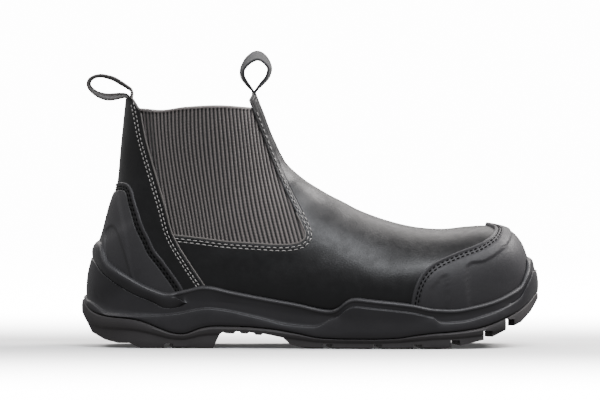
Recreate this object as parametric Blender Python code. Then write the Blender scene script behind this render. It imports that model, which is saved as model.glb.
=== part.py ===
"""Side gore work boot for the right foot.

A hollow leather upper is lofted over the last, stands in a cupped midsole on a lugged
outsole, and carries elastic gores, a toe cap, a heel counter, a back strip and two pull loops.
Metres, +Z up, toe towards +X, the inner side of the foot towards +Y, sole on Z = 0.
"""
import math
from collections import namedtuple

import bmesh
import bpy
import numpy as np
from mathutils import Vector
from mathutils.bvhtree import BVHTree

# Driving sizes
LENGTH = 0.3042           # sole unit, heel to toe
LEG_HEIGHT = 0.1702       # floor to the tip of the front ear
BALL_WIDTH = 0.1010       # upper across the ball of the foot
BED_HEEL = 0.0310         # foot bed above the floor, under the heel
BED_BALL = 0.0190         # foot bed above the floor, under the ball
BED_TOE = 0.0275          # foot bed above the floor, at the toe tip
LEATHER = 0.0022          # wall of the upper
GORE_THICK = 0.0014       # elastic
GORE_SINK = 0.0005        # elastic below the leather's face
STRIP_THICK = 0.0013      # back strip
CAP_THICK = 0.0016        # toe cap
COUNTER_THICK = 0.0022    # heel counter
INSOLE_THICK = 0.0040
INSOLE_PLAY = 0.0018      # insole to the inside of the upper
GAP = 0.0003              # between pieces that touch
LUG_DEPTH = 0.0032
GROOVE_WIDTH = 0.0060
RIM_THICK = 0.0024        # midsole past the upper, at its top edge
BEAD_THICK = 0.0036       # midsole past the upper, over the top bead
WALL_THICK = 0.0031       # midsole past the upper, between bead and step
STEP_THICK = 0.0047       # midsole past the upper, below the step
FLANGE_THICK = 0.0051     # outsole past the upper, at the parting line
HEEL_FLARE = 0.0017       # what the outsole adds to that at the back of the heel
FOOT_THICK = 0.0036       # outsole past the upper, on the floor
BEAD_HEIGHT = 0.0030
EDGE_ROUND = 0.0006       # rounding of the sole's moulded edges
LEAST_STEP = 0.0015       # lowest the step stands over the parting line
LEAST_WALL = 0.0024       # least wall between step and bead
LEAST_SOLE = 0.0045       # midsole under the foot bed
JOINT_INSET = 0.0015      # flat of the joint between the soles, inside the upper's face
LEDGE_INSET = 0.0010      # side of the outsole below its ledge
TAPE_THICK = 0.0020
TAPE_WIDTH = 0.0200
FRONT_LOOP_LONG = 0.0265
FRONT_LOOP_WIDE = 0.0195
REAR_LOOP_LONG = 0.0290
REAR_LOOP_WIDE = 0.0130
TAB_DEPTH = 0.0120        # loop end down inside the collar

AROUND = 16               # points of a section, less one
STATION_PITCH = 0.0180    # longest step between lofted sections
CAP_SAMPLES = 24          # points of the toe cap's edge, less one
LOOP_SAMPLES = 20         # points of a pull loop's outline
HALVINGS = 40             # steps of a search by halves
MITRE_LIMIT = 0.4         # least cosine of half a corner that an outline is moved round
FAR = 0.3                 # past everything, for cutters

# Sections of the last, from the toe tip to above the collar. Each lies in a plane that holds
# the Y axis and runs from a point on the foot bed or back seam (foot) to one on the top line (top).
# top_x and foot_x: shares of LENGTH from the heel. top_z: share of LEG_HEIGHT. rise: share of
# LEG_HEIGHT above the foot bed. outer, inner and ridge: shares of BALL_WIDTH from the middle line.
# widest: share of the way up. turn: share of the points above it. power_up, power_down: roundness.
# edge: width at the foot point as a share of the widest, 0 where the section closes at the back.
Section = namedtuple(
    "Section", "top_x top_z foot_x rise outer inner ridge widest turn power_up power_down edge")
SECTIONS = [
    Section(0.9810, 0.160, 0.9810, 0.000, -0.060, 0.060, 0.060, 0.45, 0.72, 2.3, 2.2, 0.96),
    Section(0.9836, 0.200, 0.9790, 0.000, 0.035, 0.142, 0.060, 0.45, 0.72, 2.3, 2.2, 0.96),
    Section(0.9840, 0.248, 0.9753, 0.000, 0.102, 0.198, 0.060, 0.44, 0.72, 2.3, 2.2, 0.96),
    Section(0.9805, 0.301, 0.9694, 0.000, 0.163, 0.252, 0.060, 0.42, 0.72, 2.4, 2.2, 0.96),
    Section(0.9726, 0.354, 0.9595, 0.000, 0.232, 0.308, 0.060, 0.40, 0.72, 2.5, 2.2, 0.96),
    Section(0.9608, 0.404, 0.9454, 0.000, 0.293, 0.353, 0.060, 0.38, 0.72, 2.6, 2.2, 0.96),
    Section(0.9420, 0.443, 0.9273, 0.000, 0.345, 0.391, 0.060, 0.36, 0.73, 2.7, 2.2, 0.96),
    Section(0.9175, 0.4625, 0.9043, 0.000, 0.389, 0.421, 0.060, 0.34, 0.74, 2.7, 2.2, 0.96),
    Section(0.8845, 0.4690, 0.8747, 0.000, 0.429, 0.446, 0.060, 0.32, 0.75, 2.6, 2.2, 0.96),
    Section(0.8420, 0.4620, 0.8353, 0.000, 0.465, 0.464, 0.060, 0.30, 0.76, 2.4, 2.2, 0.96),
    Section(0.7890, 0.4530, 0.7860, 0.000, 0.493, 0.477, 0.058, 0.28, 0.77, 2.2, 2.2, 0.95),
    Section(0.7300, 0.4620, 0.7230, 0.000, 0.507, 0.470, 0.052, 0.26, 0.78, 2.1, 2.2, 0.94),
    Section(0.6710, 0.4880, 0.6510, 0.000, 0.500, 0.440, 0.045, 0.24, 0.78, 2.00, 2.2, 0.93),
    Section(0.6120, 0.5300, 0.5660, 0.000, 0.470, 0.400, 0.036, 0.24, 0.77, 2.05, 2.2, 0.92),
    Section(0.5723, 0.5687, 0.4600, 0.000, 0.430, 0.370, 0.026, 0.25, 0.74, 2.10, 2.2, 0.92),
    Section(0.5427, 0.5952, 0.3420, 0.000, 0.392, 0.354, 0.016, 0.28, 0.70, 2.15, 2.3, 0.92),
    Section(0.5164, 0.6228, 0.2300, 0.000, 0.365, 0.348, 0.008, 0.32, 0.65, 2.20, 2.4, 0.93),
    Section(0.4967, 0.6445, 0.1560, 0.000, 0.349, 0.344, 0.004, 0.35, 0.60, 2.25, 2.5, 0.93),
    Section(0.4836, 0.6616, 0.1120, 0.000, 0.344, 0.343, 0.002, 0.36, 0.58, 2.30, 2.5, 0.90),
    Section(0.4704, 0.6810, 0.0790, 0.000, 0.341, 0.341, 0.000, 0.37, 0.56, 2.30, 2.6, 0.80),
    Section(0.4589, 0.6992, 0.0530, 0.000, 0.339, 0.339, 0.000, 0.38, 0.55, 2.30, 2.6, 0.63),
    Section(0.4510, 0.7139, 0.0350, 0.000, 0.337, 0.337, 0.000, 0.38, 0.54, 2.30, 2.6, 0.42),
    Section(0.4448, 0.7286, 0.0270, 0.000, 0.336, 0.336, 0.000, 0.38, 0.53, 2.30, 2.6, 0.24),
    Section(0.4392, 0.7468, 0.0240, 0.006, 0.335, 0.335, 0.000, 0.38, 0.52, 2.30, 2.6, 0.0),
    Section(0.4333, 0.7667, 0.0222, 0.053, 0.333, 0.333, 0.000, 0.38, 0.52, 2.30, 2.6, 0.0),
    Section(0.4264, 0.7938, 0.0240, 0.112, 0.330, 0.330, 0.000, 0.39, 0.52, 2.30, 2.5, 0.0),
    Section(0.4204, 0.8173, 0.0340, 0.188, 0.327, 0.327, 0.000, 0.40, 0.52, 2.30, 2.4, 0.0),
    Section(0.4135, 0.8461, 0.0477, 0.253, 0.325, 0.325, 0.000, 0.42, 0.52, 2.30, 2.3, 0.0),
    Section(0.4060, 0.8813, 0.0635, 0.360, 0.325, 0.325, 0.000, 0.44, 0.52, 2.30, 2.2, 0.0),
    Section(0.3988, 0.9172, 0.0800, 0.455, 0.329, 0.329, 0.000, 0.46, 0.52, 2.30, 2.2, 0.0),
    Section(0.3899, 0.9565, 0.0875, 0.590, 0.336, 0.336, 0.000, 0.47, 0.51, 2.30, 2.2, 0.0),
    Section(0.3790, 1.0076, 0.0960, 0.740, 0.344, 0.344, 0.000, 0.48, 0.50, 2.30, 2.2, 0.0),
    Section(0.3685, 1.0576, 0.1035, 0.860, 0.350, 0.350, 0.000, 0.48, 0.50, 2.30, 2.2, 0.0),
]
MIDDLE_Y = (max(row.outer for row in SECTIONS) - max(row.inner for row in SECTIONS)) * BALL_WIDTH / 2
CLOSED_FROM = next(i for i, row in enumerate(SECTIONS) if row.edge == 0.0)

# Heights along the shoe: share of LENGTH from the heel, then share of the way from
# BED_BALL up to BED_HEEL (behind the ball) or BED_TOE (ahead of it).
BED_BACK = [(0.02, 1.0), (0.17, 1.0), (0.30, 0.86), (0.43, 0.42), (0.56, 0.08), (0.68, 0.0)]
BED_FRONT = [(0.72, 0.0), (0.80, 0.14), (0.90, 0.52), (0.99, 1.0)]

# Side profiles of the sole: share of LENGTH from the heel, share of LEG_HEIGHT.
# Top edge of the midsole
RIM_LINE = [
    (0.020, 0.425), (0.040, 0.417), (0.056, 0.345), (0.084, 0.305), (0.113, 0.273),
    (0.149, 0.241), (0.189, 0.219), (0.224, 0.229), (0.269, 0.246), (0.328, 0.225),
    (0.385, 0.205), (0.469, 0.178), (0.546, 0.152), (0.562, 0.163), (0.578, 0.189),
    (0.596, 0.201), (0.634, 0.194), (0.724, 0.176), (0.766, 0.160), (0.811, 0.156),
    (0.855, 0.168), (0.900, 0.188), (0.945, 0.225), (0.968, 0.257), (0.974, 0.300),
    (0.978, 0.345), (0.990, 0.350)]
# Lower edge of the band under the rim: broad round the heel, a bead elsewhere
BAND_LINE = [
    (0.005, 0.365), (0.020, 0.345), (0.041, 0.296), (0.079, 0.241), (0.117, 0.201),
    (0.157, 0.169), (0.187, 0.155), (0.213, 0.163), (0.235, 0.215), (0.269, 0.229)]
# Step between the upper and lower wall of the midsole
STEP_LINE = [
    (0.010, 0.182), (0.060, 0.132), (0.160, 0.127), (0.216, 0.136), (0.244, 0.147),
    (0.277, 0.155), (0.317, 0.147), (0.356, 0.132), (0.398, 0.114), (0.440, 0.095),
    (0.482, 0.086), (0.511, 0.084), (0.533, 0.102), (0.555, 0.135), (0.571, 0.163),
    (0.590, 0.187), (0.634, 0.182), (0.724, 0.164), (0.755, 0.150), (0.785, 0.100),
    (0.830, 0.104), (0.878, 0.125), (0.926, 0.156), (0.967, 0.201), (0.988, 0.293)]
# Joint between midsole and outsole
PARTING_LINE = [
    (0.000, 0.200), (0.008, 0.190), (0.021, 0.148), (0.048, 0.127), (0.114, 0.115),
    (0.142, 0.101), (0.169, 0.081), (0.205, 0.060), (0.224, 0.058), (0.242, 0.068),
    (0.260, 0.081), (0.291, 0.089), (0.356, 0.087), (0.412, 0.079), (0.469, 0.062),
    (0.522, 0.044), (0.578, 0.040), (0.634, 0.040), (0.691, 0.044), (0.724, 0.053),
    (0.769, 0.063), (0.814, 0.069), (0.866, 0.082), (0.902, 0.101), (0.938, 0.129),
    (0.962, 0.152), (0.983, 0.182), (1.000, 0.212)]

# Cutters of the tread, seen from the side, in the same shares: the arch with its breast,
# and the upward curve under the toe and behind the heel
ARCH = [
    (0.288, -0.030), (0.288, 0.000), (0.297, 0.035), (0.303, 0.056), (0.320, 0.060),
    (0.396, 0.057), (0.441, 0.043), (0.458, 0.016), (0.495, 0.000), (0.495, -0.030)]
TOE_SPRING = [
    (0.786, -0.030), (0.786, 0.000), (0.842, 0.020), (0.890, 0.040), (0.925, 0.070),
    (0.962, 0.102), (0.984, 0.141), (0.999, 0.181), (1.030, 0.260), (1.030, -0.030)]
HEEL_BEVEL = [
    (-0.030, -0.030), (-0.030, 0.200), (0.000, 0.130), (0.015, 0.082), (0.022, 0.059),
    (0.051, 0.032), (0.080, 0.020), (0.106, 0.020), (0.130, 0.000), (0.130, -0.030)]
LEDGE_SHARE = 0.62        # height of the outsole's ledge, as a share of the parting line's
FOOT_SHARE = 0.30         # height where its side starts to turn in to the floor, likewise
# Cross grooves of the tread: middle of each as a share of LENGTH
CROSS_GROOVES = [0.210, 0.555, 0.661, 0.749, 0.832, 0.905, 0.956]
GROOVE_SWEEP = 0.030      # share of LENGTH that a cross groove runs back at the middle line
# Grooves along the tread: from and to as shares of LENGTH, share of BALL_WIDTH off the middle
CHANNELS = [(0.520, 0.850, -0.17), (0.520, 0.850, 0.19), (0.145, 0.270, 0.0)]

# Seams in the side view: share of LENGTH from the heel, share of LEG_HEIGHT
GORE_REAR = [(0.127, 0.930), (0.139, 0.816), (0.161, 0.672), (0.180, 0.551), (0.198, 0.442)]
GORE_LOW = [(0.254, 0.431), (0.315, 0.417), (0.377, 0.410), (0.439, 0.404)]
GORE_CORNER = [(0.474, 0.412), (0.487, 0.428), (0.490, 0.447), (0.485, 0.472)]
GORE_FRONT = [(0.470, 0.528), (0.442, 0.628), (0.4175, 0.727), (0.396, 0.827), (0.372, 0.937)]
REAR_EAR = [(0.121, 0.940), (0.106, 0.980), (0.090, 0.972), (0.040, 0.972)]
FRONT_EAR = [(0.3655, 0.968), (0.372, 0.988), (0.3765, 1.000), (0.430, 1.000)]
GORE_TOP = [(0.110, 0.934), (0.168, 0.927), (0.225, 0.937), (0.300, 0.944), (0.390, 0.941)]
STRIP_FRONT = [(0.108, 1.100), (0.129, 0.938), (0.142, 0.816), (0.164, 0.672), (0.183, 0.551),
               (0.2005, 0.438), (0.236, 0.331), (0.268, 0.246), (0.290, 0.180)]
COUNTER_EDGE = [(0.000, 0.634), (0.072, 0.636), (0.090, 0.647), (0.101, 0.645), (0.109, 0.635),
                (0.116, 0.611), (0.121, 0.575), (0.129, 0.529), (0.139, 0.473), (0.151, 0.429),
                (0.162, 0.386), (0.180, 0.345), (0.202, 0.292), (0.223, 0.236), (0.240, 0.170)]
# Rear edge of the toe cap: place round the section from the ridge (0) to the foot bed (1),
# share of LENGTH from the heel
CAP_EDGE = [(0.00, 0.886), (0.08, 0.896), (0.17, 0.904), (0.31, 0.896), (0.395, 0.878),
            (0.435, 0.856), (0.465, 0.824), (0.505, 0.788), (0.57, 0.757), (0.655, 0.736),
            (0.74, 0.725), (0.81, 0.720), (1.00, 0.715)]
# Middle of the fan that the toe cap's edge is swept from: share of LENGTH, share of BALL_WIDTH
# off the middle, and how far past the skin it reaches
CAP_HEART = (0.80, 0.05)
CAP_REACH = 1.3


def remove_everything():
    """Start from an empty scene."""
    for thing in list(bpy.data.objects):
        bpy.data.objects.remove(thing)


def along(share):
    """X of a share of the length, counted from the heel."""
    return (share - 0.5) * LENGTH


def point(pair):
    """Side view point (x, z) of a pair of shares."""
    return np.array([along(pair[0]), pair[1] * LEG_HEIGHT])


def hermite(low, high, slope_low, slope_high, width, part):
    """Cubic between two values with given slopes."""
    square, cube = part * part, part ** 3
    return ((2 * cube - 3 * square + 1) * low + (cube - 2 * square + part) * width * slope_low
            + (3 * square - 2 * cube) * high + (cube - square) * width * slope_high)


def curve(rows, where):
    """Height of a smooth curve through rows of (place, height) that never overshoots them."""
    xs = [row[0] for row in rows]
    ys = [row[1] for row in rows]
    if where <= xs[0]:
        return ys[0]
    if where >= xs[-1]:
        return ys[-1]
    steps = [(ys[i + 1] - ys[i]) / (xs[i + 1] - xs[i]) for i in range(len(xs) - 1)]
    slopes = [0.0] * len(xs)
    for i in range(1, len(xs) - 1):
        if steps[i - 1] * steps[i] > 0:
            slopes[i] = 2 * steps[i - 1] * steps[i] / (steps[i - 1] + steps[i])
    i = max(k for k in range(len(xs) - 1) if xs[k] <= where)
    width = xs[i + 1] - xs[i]
    return hermite(ys[i], ys[i + 1], slopes[i], slopes[i + 1], width, (where - xs[i]) / width)


def rounded(points, steps=2):
    """Side view points of a smooth curve through the given ones."""
    points = [np.asarray(p, float) for p in points]
    ends = [2 * points[0] - points[1]] + points + [2 * points[-1] - points[-2]]
    found = []
    for i in range(1, len(ends) - 2):
        before, low, high, after = ends[i - 1:i + 3]
        for k in range(steps):
            found.append(hermite(low, high, (high - before) / 2, (after - low) / 2, 1.0, k / steps))
    return found + [points[-1]]


def bed(x):
    """Height of the foot bed."""
    share = x / LENGTH + 0.5
    if share < BED_BACK[-1][0]:
        return BED_BALL + (BED_HEEL - BED_BALL) * curve(BED_BACK, share)
    return BED_BALL + (BED_TOE - BED_BALL) * curve(BED_FRONT, share)


def section(place):
    """The last's section at a place counted in rows of the table, rows joined smoothly."""
    i = min(int(place), len(SECTIONS) - 2)
    part = place - i
    rows = [np.array(SECTIONS[min(max(k, 0), len(SECTIONS) - 1)]) for k in range(i - 1, i + 3)]
    mixed = hermite(rows[1], rows[2], (rows[2] - rows[0]) / 2, (rows[3] - rows[1]) / 2, 1.0, part)
    found = Section(*mixed)
    if place >= CLOSED_FROM:
        found = found._replace(edge=0.0)
    return found


def skin(place, turn):
    """Point of the upper's outer face. turn: -1 outer edge, 0 ridge, 1 inner edge."""
    row = section(place)
    top = np.array([along(row.top_x), 0.0, row.top_z * LEG_HEIGHT])
    foot_x = along(row.foot_x)
    foot = np.array([foot_x, 0.0, bed(foot_x) + GAP + row.rise * LEG_HEIGHT])
    reach = (row.ridge + row.outer if turn < 0 else row.inner - row.ridge) * BALL_WIDTH
    share = abs(turn)
    if share <= row.turn:
        angle = math.pi / 2 * (1 - share / row.turn)
        up = row.widest + (1 - row.widest) * math.sin(angle) ** (2 / row.power_up)
        out = math.cos(angle) ** (2 / row.power_up)
    else:
        last = math.acos(max(row.edge, 0.0) ** (row.power_down / 2))
        angle = last * (share - row.turn) / (1 - row.turn)
        up = row.widest * (1 - (math.sin(angle) / math.sin(last)) ** (2 / row.power_down))
        out = max(math.cos(angle), 0.0) ** (2 / row.power_down)
    side = -1.0 if turn < 0 else 1.0
    middle = np.array([0.0, row.ridge * BALL_WIDTH + MIDDLE_Y, 0.0])
    return foot + (top - foot) * up + middle + np.array([0.0, side * reach * out, 0.0])


def stations():
    """Places of the lofted sections, close enough for STATION_PITCH."""
    found = [0.0]
    for i in range(len(SECTIONS) - 1):
        step = max(np.linalg.norm(skin(i + 1, t) - skin(i, t)) for t in (0.0, 1.0))
        count = max(1, math.ceil(step / STATION_PITCH))
        found += [i + k / count for k in range(1, count + 1)]
    return found


class Skin:
    """Grid over the last, with one toe point and one back seam, and normals that point out.

    Along the foot edge the normals lie flat, so that every wall stands level on the bed.
    """

    def __init__(self):
        self.places = stations()
        count = len(self.places)
        self.index = np.zeros((count, AROUND + 1), int)
        points = [skin(0.0, 1.0)]
        for i in range(1, count):
            closed = self.places[i] >= CLOSED_FROM
            for j in range(AROUND + 1):
                if closed and j == AROUND:
                    self.index[i][j] = self.index[i][0]
                    continue
                self.index[i][j] = len(points)
                points.append(skin(self.places[i], 2 * j / AROUND - 1))
        self.points = np.array(points)
        self.faces = self.make_faces()
        self.open_rows = [i for i in range(1, count) if self.places[i] < CLOSED_FROM]
        self.normals = self.make_normals()

    def make_faces(self):
        faces = []
        for i in range(len(self.places) - 1):
            for j in range(AROUND):
                a, b = int(self.index[i][j]), int(self.index[i][j + 1])
                c, d = int(self.index[i + 1][j + 1]), int(self.index[i + 1][j])
                faces += [(a, b, c), (a, c, d)]
        return [face for face in faces if len(set(face)) == 3]

    def make_normals(self):
        normals = np.zeros_like(self.points)
        for face in self.faces:
            p = self.points[list(face)]
            for k in face:
                normals[k] += np.cross(p[1] - p[0], p[2] - p[0])
        edge = [0] + [int(self.index[i][j]) for i in self.open_rows for j in (0, AROUND)]
        normals[edge, 2] = 0.0
        normals /= np.linalg.norm(normals, axis=1)[:, None]
        middle = self.points.mean(axis=0)
        outward = np.sum(normals * (self.points - middle), axis=1).sum()
        return normals if outward > 0 else -normals

    def rim_edges(self):
        seen = {}
        for face in self.faces:
            for a, b in zip(face, face[1:] + face[:1]):
                seen[frozenset((a, b))] = None if frozenset((a, b)) in seen else (a, b)
        return [edge for edge in seen.values() if edge]

    def shell(self, low, high):
        """Wall between two distances from the skin."""
        count = len(self.points)
        points = np.concatenate([self.points + self.normals * high, self.points + self.normals * low])
        faces = list(self.faces)
        faces += [tuple(k + count for k in reversed(face)) for face in self.faces]
        faces += [(b, a, a + count, b + count) for a, b in self.rim_edges()]
        return points, faces

    def form(self, grow, drop=0.0):
        """Filled last, grown, standing on a skirt of the given depth."""
        points = list(self.points + self.normals * grow)
        faces = list(self.faces)
        closing = self.open_rows[-1] + 1
        outer = [int(self.index[i][0]) for i in range(closing + 1)]
        inner = [int(self.index[i][AROUND]) for i in range(closing + 1)]
        low = {}
        for k in outer + inner:
            if k not in low:
                low[k] = len(points)
                points.append(points[k] - np.array([0.0, 0.0, drop]))
        for edge in (outer, inner):
            for a, b in zip(edge, edge[1:]):
                faces += [(a, b, low[b]), (a, low[b], low[a])]
        for a, b, c, d in zip(outer, outer[1:], inner[1:], inner):
            ring = list(dict.fromkeys([low[a], low[b], low[c], low[d]]))
            faces += [(ring[0], ring[k], ring[k + 1]) for k in range(1, len(ring) - 1)]
        faces.append(tuple(int(k) for k in self.index[-1][:AROUND]))
        return points, faces


def material(name, colour, roughness):
    """Plain Principled finish."""
    made = bpy.data.materials.new(name)
    made.use_nodes = True
    shader = made.node_tree.nodes["Principled BSDF"]
    shader.inputs["Base Color"].default_value = (*colour, 1.0)
    shader.inputs["Roughness"].default_value = roughness
    shader.inputs["Metallic"].default_value = 0.0
    return made


def make_object(name, points, faces, finish=None):
    """Closed mesh object with its faces out; a guide for cutting where it has no finish."""
    mesh = bpy.data.meshes.new(name)
    mesh.from_pydata([tuple(map(float, p)) for p in points], [], [tuple(f) for f in faces])
    work = bmesh.new()
    work.from_mesh(mesh)
    bmesh.ops.recalc_face_normals(work, faces=work.faces)
    if work.calc_volume(signed=True) < 0:
        bmesh.ops.reverse_faces(work, faces=work.faces)
    work.to_mesh(mesh)
    work.free()
    made = bpy.data.objects.new(name, mesh)
    bpy.context.scene.collection.objects.link(made)
    if finish is None:
        made.hide_render = True
        made.display_type = "WIRE"
    else:
        mesh.materials.append(finish)
        mesh.shade_smooth()
        mesh.set_sharp_from_angle(angle=math.radians(35))
    return made


def combine(target, tool, operation="DIFFERENCE"):
    """Boolean of one object with a guide."""
    step = target.modifiers.new(operation.title() + " " + tool.name, "BOOLEAN")
    step.operation = operation
    step.solver = "EXACT"
    step.object = tool


def prism(name, outline, low_y=-FAR, high_y=FAR):
    """Guide with a side view outline, from one Y to another."""
    count = len(outline)
    points = [(p[0], y, p[1]) for y in (low_y, high_y) for p in outline]
    faces = [tuple(range(count)), tuple(range(2 * count - 1, count - 1, -1))]
    faces += [(k, (k + 1) % count, (k + 1) % count + count, k + count) for k in range(count)]
    return make_object(name, points, faces)


def inset(outline, distance):
    """Side view outline moved inwards."""
    area = sum(a[0] * b[1] - b[0] * a[1] for a, b in zip(outline, outline[1:] + outline[:1]))
    side = 1.0 if area > 0 else -1.0
    moved = []
    for k, p in enumerate(outline):
        before = p - outline[k - 1]
        after = outline[(k + 1) % len(outline)] - p
        before = before / np.linalg.norm(before)
        after = after / np.linalg.norm(after)
        normal = np.array([-(before + after)[1], (before + after)[0]])
        normal = normal / np.linalg.norm(normal)
        lean = max(MITRE_LIMIT, -before[1] * normal[0] + before[0] * normal[1])
        moved.append(p + normal * side * distance / lean)
    return moved


def window_outline():
    """Both side windows and everything over the collar, as one side view outline."""
    rear = rounded([point(p) for p in GORE_REAR])
    low = rounded([point(p) for p in [GORE_REAR[-1]] + GORE_LOW + GORE_CORNER + [GORE_FRONT[0]]])
    front = rounded([point(p) for p in GORE_FRONT])
    back_ear = [point(p) for p in reversed(REAR_EAR)]
    front_ear = [point(p) for p in FRONT_EAR]
    sky = [np.array([front_ear[-1][0], FAR]), np.array([back_ear[0][0], FAR])]
    return back_ear + rear[:-1] + low[:-1] + front + front_ear + sky


def gore_outline():
    """Elastic inside its window, up to its own top edge."""
    rear = rounded([point(p) for p in GORE_REAR])
    low = rounded([point(p) for p in [GORE_REAR[-1]] + GORE_LOW + GORE_CORNER + [GORE_FRONT[0]]])
    front = rounded([point(p) for p in GORE_FRONT])
    top = [point(p) for p in reversed(GORE_TOP[1:-1])]
    return inset(rear[:-1] + low[:-1] + front + top, GAP)


def strip_outline():
    """Everything behind the back strip's front edge."""
    edge = rounded([point(p) for p in STRIP_FRONT])
    return edge + [np.array([-FAR, edge[-1][1]]), np.array([-FAR, edge[0][1]])]


def counter_outline(grow=0.0):
    """Everything below and behind the heel counter's edge."""
    edge = rounded([point(p) for p in COUNTER_EDGE])
    outline = edge + [np.array([-FAR, edge[-1][1]]), np.array([-FAR, edge[0][1]])]
    return inset(outline, -grow)


def build_upper(grid, finish):
    """Leather wall, open at the collar, in the side windows and underneath."""
    upper = make_object("upper", *grid.shell(-LEATHER, 0.0), finish)
    combine(upper, prism("window_cut", window_outline()))
    return upper


def build_gores(grid, finish):
    """Elastic panels in the two windows."""
    for name, low_y, high_y in (("gore_lateral", -FAR, 0.0), ("gore_medial", 0.0, FAR)):
        gore = make_object(name, *grid.shell(-GORE_SINK - GORE_THICK, -GORE_SINK), finish)
        combine(gore, prism(name + "_form", gore_outline(), low_y, high_y), "INTERSECT")


def build_strip(grid, sole_clear, finish):
    """Back strip from ear to sole, ending at the counter."""
    strip = make_object("rear_quarter", *grid.shell(GAP, GAP + STRIP_THICK), finish)
    combine(strip, prism("strip_form", strip_outline()), "INTERSECT")
    combine(strip, bpy.data.objects["window_cut"])
    combine(strip, prism("strip_stop", counter_outline(GAP)))
    combine(strip, sole_clear)


def build_counter(grid, sole_clear, finish):
    """Moulded counter round the heel."""
    counter = make_object("heel_counter", *grid.shell(GAP, GAP + COUNTER_THICK), finish)
    combine(counter, prism("counter_form", counter_outline()), "INTERSECT")
    combine(counter, sole_clear)


def place_at(x, turn):
    """Place in the section table where the skin reaches an X at a given turn."""
    low, high = 0.0, float(CLOSED_FROM)
    for _ in range(HALVINGS):
        middle = (low + high) / 2
        if skin(middle, turn)[0] > x:
            low = middle
        else:
            high = middle
    return low


def cap_guide():
    """Everything ahead of the toe cap's rear edge, as a fan swept towards the toe."""
    x = along(CAP_HEART[0])
    height = (bed(x) + skin(place_at(x, 0.0), 0.0)[2]) / 2
    heart = np.array([x, CAP_HEART[1] * BALL_WIDTH + MIDDLE_Y, height])
    rim = []
    for j in range(CAP_SAMPLES + 1):
        turn = 2 * j / CAP_SAMPLES - 1
        edge = skin(place_at(along(curve(CAP_EDGE, abs(turn))), turn), turn)
        rim.append(heart + (edge - heart) * CAP_REACH)
    ahead = np.array([LENGTH, 0.0, 0.0])
    rear = [heart] + rim
    count = len(rear)
    points = rear + [p + ahead for p in rear]
    faces = [(0, k, k + 1) for k in range(1, count - 1)] + [(0, count - 1, 1)]
    faces += [tuple(k + count for k in reversed(face)) for face in faces]
    ring = list(range(1, count))
    faces += [(a, b, b + count, a + count) for a, b in zip(ring, ring[1:] + ring[:1])]
    return make_object("cap_form", points, faces)


def build_cap(grid, sole_clear, finish):
    """Moulded cap over the toe."""
    cap = make_object("toe_cap", *grid.shell(GAP, GAP + CAP_THICK), finish)
    combine(cap, cap_guide(), "INTERSECT")
    combine(cap, sole_clear)


class Wall:
    """Columns round the sole. Each can tell a point at a height and a distance off the upper."""

    def __init__(self, grid):
        points, faces = grid.form(0.0, GAP)
        self.tree = BVHTree.FromPolygons([tuple(map(float, p)) for p in points], faces)
        outer = [grid.points[grid.index[i][0]] for i in grid.open_rows]
        inner = [grid.points[grid.index[i][AROUND]] for i in grid.open_rows]
        toe = grid.points[0]
        heel = grid.points[grid.index[grid.open_rows[-1] + 1][0]]
        self.half = len(outer)
        self.feet = [toe] + outer + [heel] + list(reversed(inner))
        count = len(self.feet)
        self.outward = []
        for k in range(count):
            run = self.feet[(k + 1) % count] - self.feet[k - 1]
            normal = np.array([run[1], -run[0], 0.0])
            self.outward.append(normal / np.linalg.norm(normal))
        if self.outward[0][0] < 0:
            self.outward = [-normal for normal in self.outward]

    def at(self, k, height, thick):
        """Point of column k at a height, with a distance from the upper's face."""
        foot, outward = self.feet[k], self.outward[k]
        probe = max(height, foot[2] + 2 * GAP)
        start = Vector((foot[0], foot[1], probe)) + Vector(outward) * BALL_WIDTH / 2
        hit = self.tree.ray_cast(start, -Vector(outward), BALL_WIDTH)[0]
        found = np.array(hit) if hit else foot.copy()
        found = found + outward * thick
        found[2] = height
        return found

    def on_line(self, k, line, thick):
        """Point of column k on a side profile: its height is read where the wall stands."""
        height = self.feet[k][2]
        for _ in range(4):
            x = self.at(k, height, thick)[0]
            height = curve(line, x / LENGTH + 0.5) * LEG_HEIGHT
        return height

    def stack(self, rings):
        """Closed body from rings of column points, with lids that run across the shoe."""
        count = len(self.feet)
        points = [p for ring in rings for p in ring]
        faces = []
        for r in range(len(rings) - 1):
            for k in range(count):
                after = (k + 1) % count
                low = r * count
                faces.append((low + k, low + after, low + after + count))
                faces.append((low + k, low + after + count, low + k + count))
        for base in (0, (len(rings) - 1) * count):
            for k in range(self.half + 1):
                ring = [base + k, base + k + 1, base + (count - k - 1) % count, base + (count - k) % count]
                ring = tuple(dict.fromkeys(ring))
                faces += [(ring[0], ring[i], ring[i + 1]) for i in range(1, len(ring) - 1)]
        return points, faces


def parting_inner(wall, k):
    """Point of the joint between the soles, well inside its edge."""
    foot = wall.feet[k]
    found = foot - wall.outward[k] * JOINT_INSET
    height = curve(PARTING_LINE, found[0] / LENGTH + 0.5) * LEG_HEIGHT
    found[2] = min(height, bed(found[0]) - LEAST_SOLE)
    return found


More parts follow.
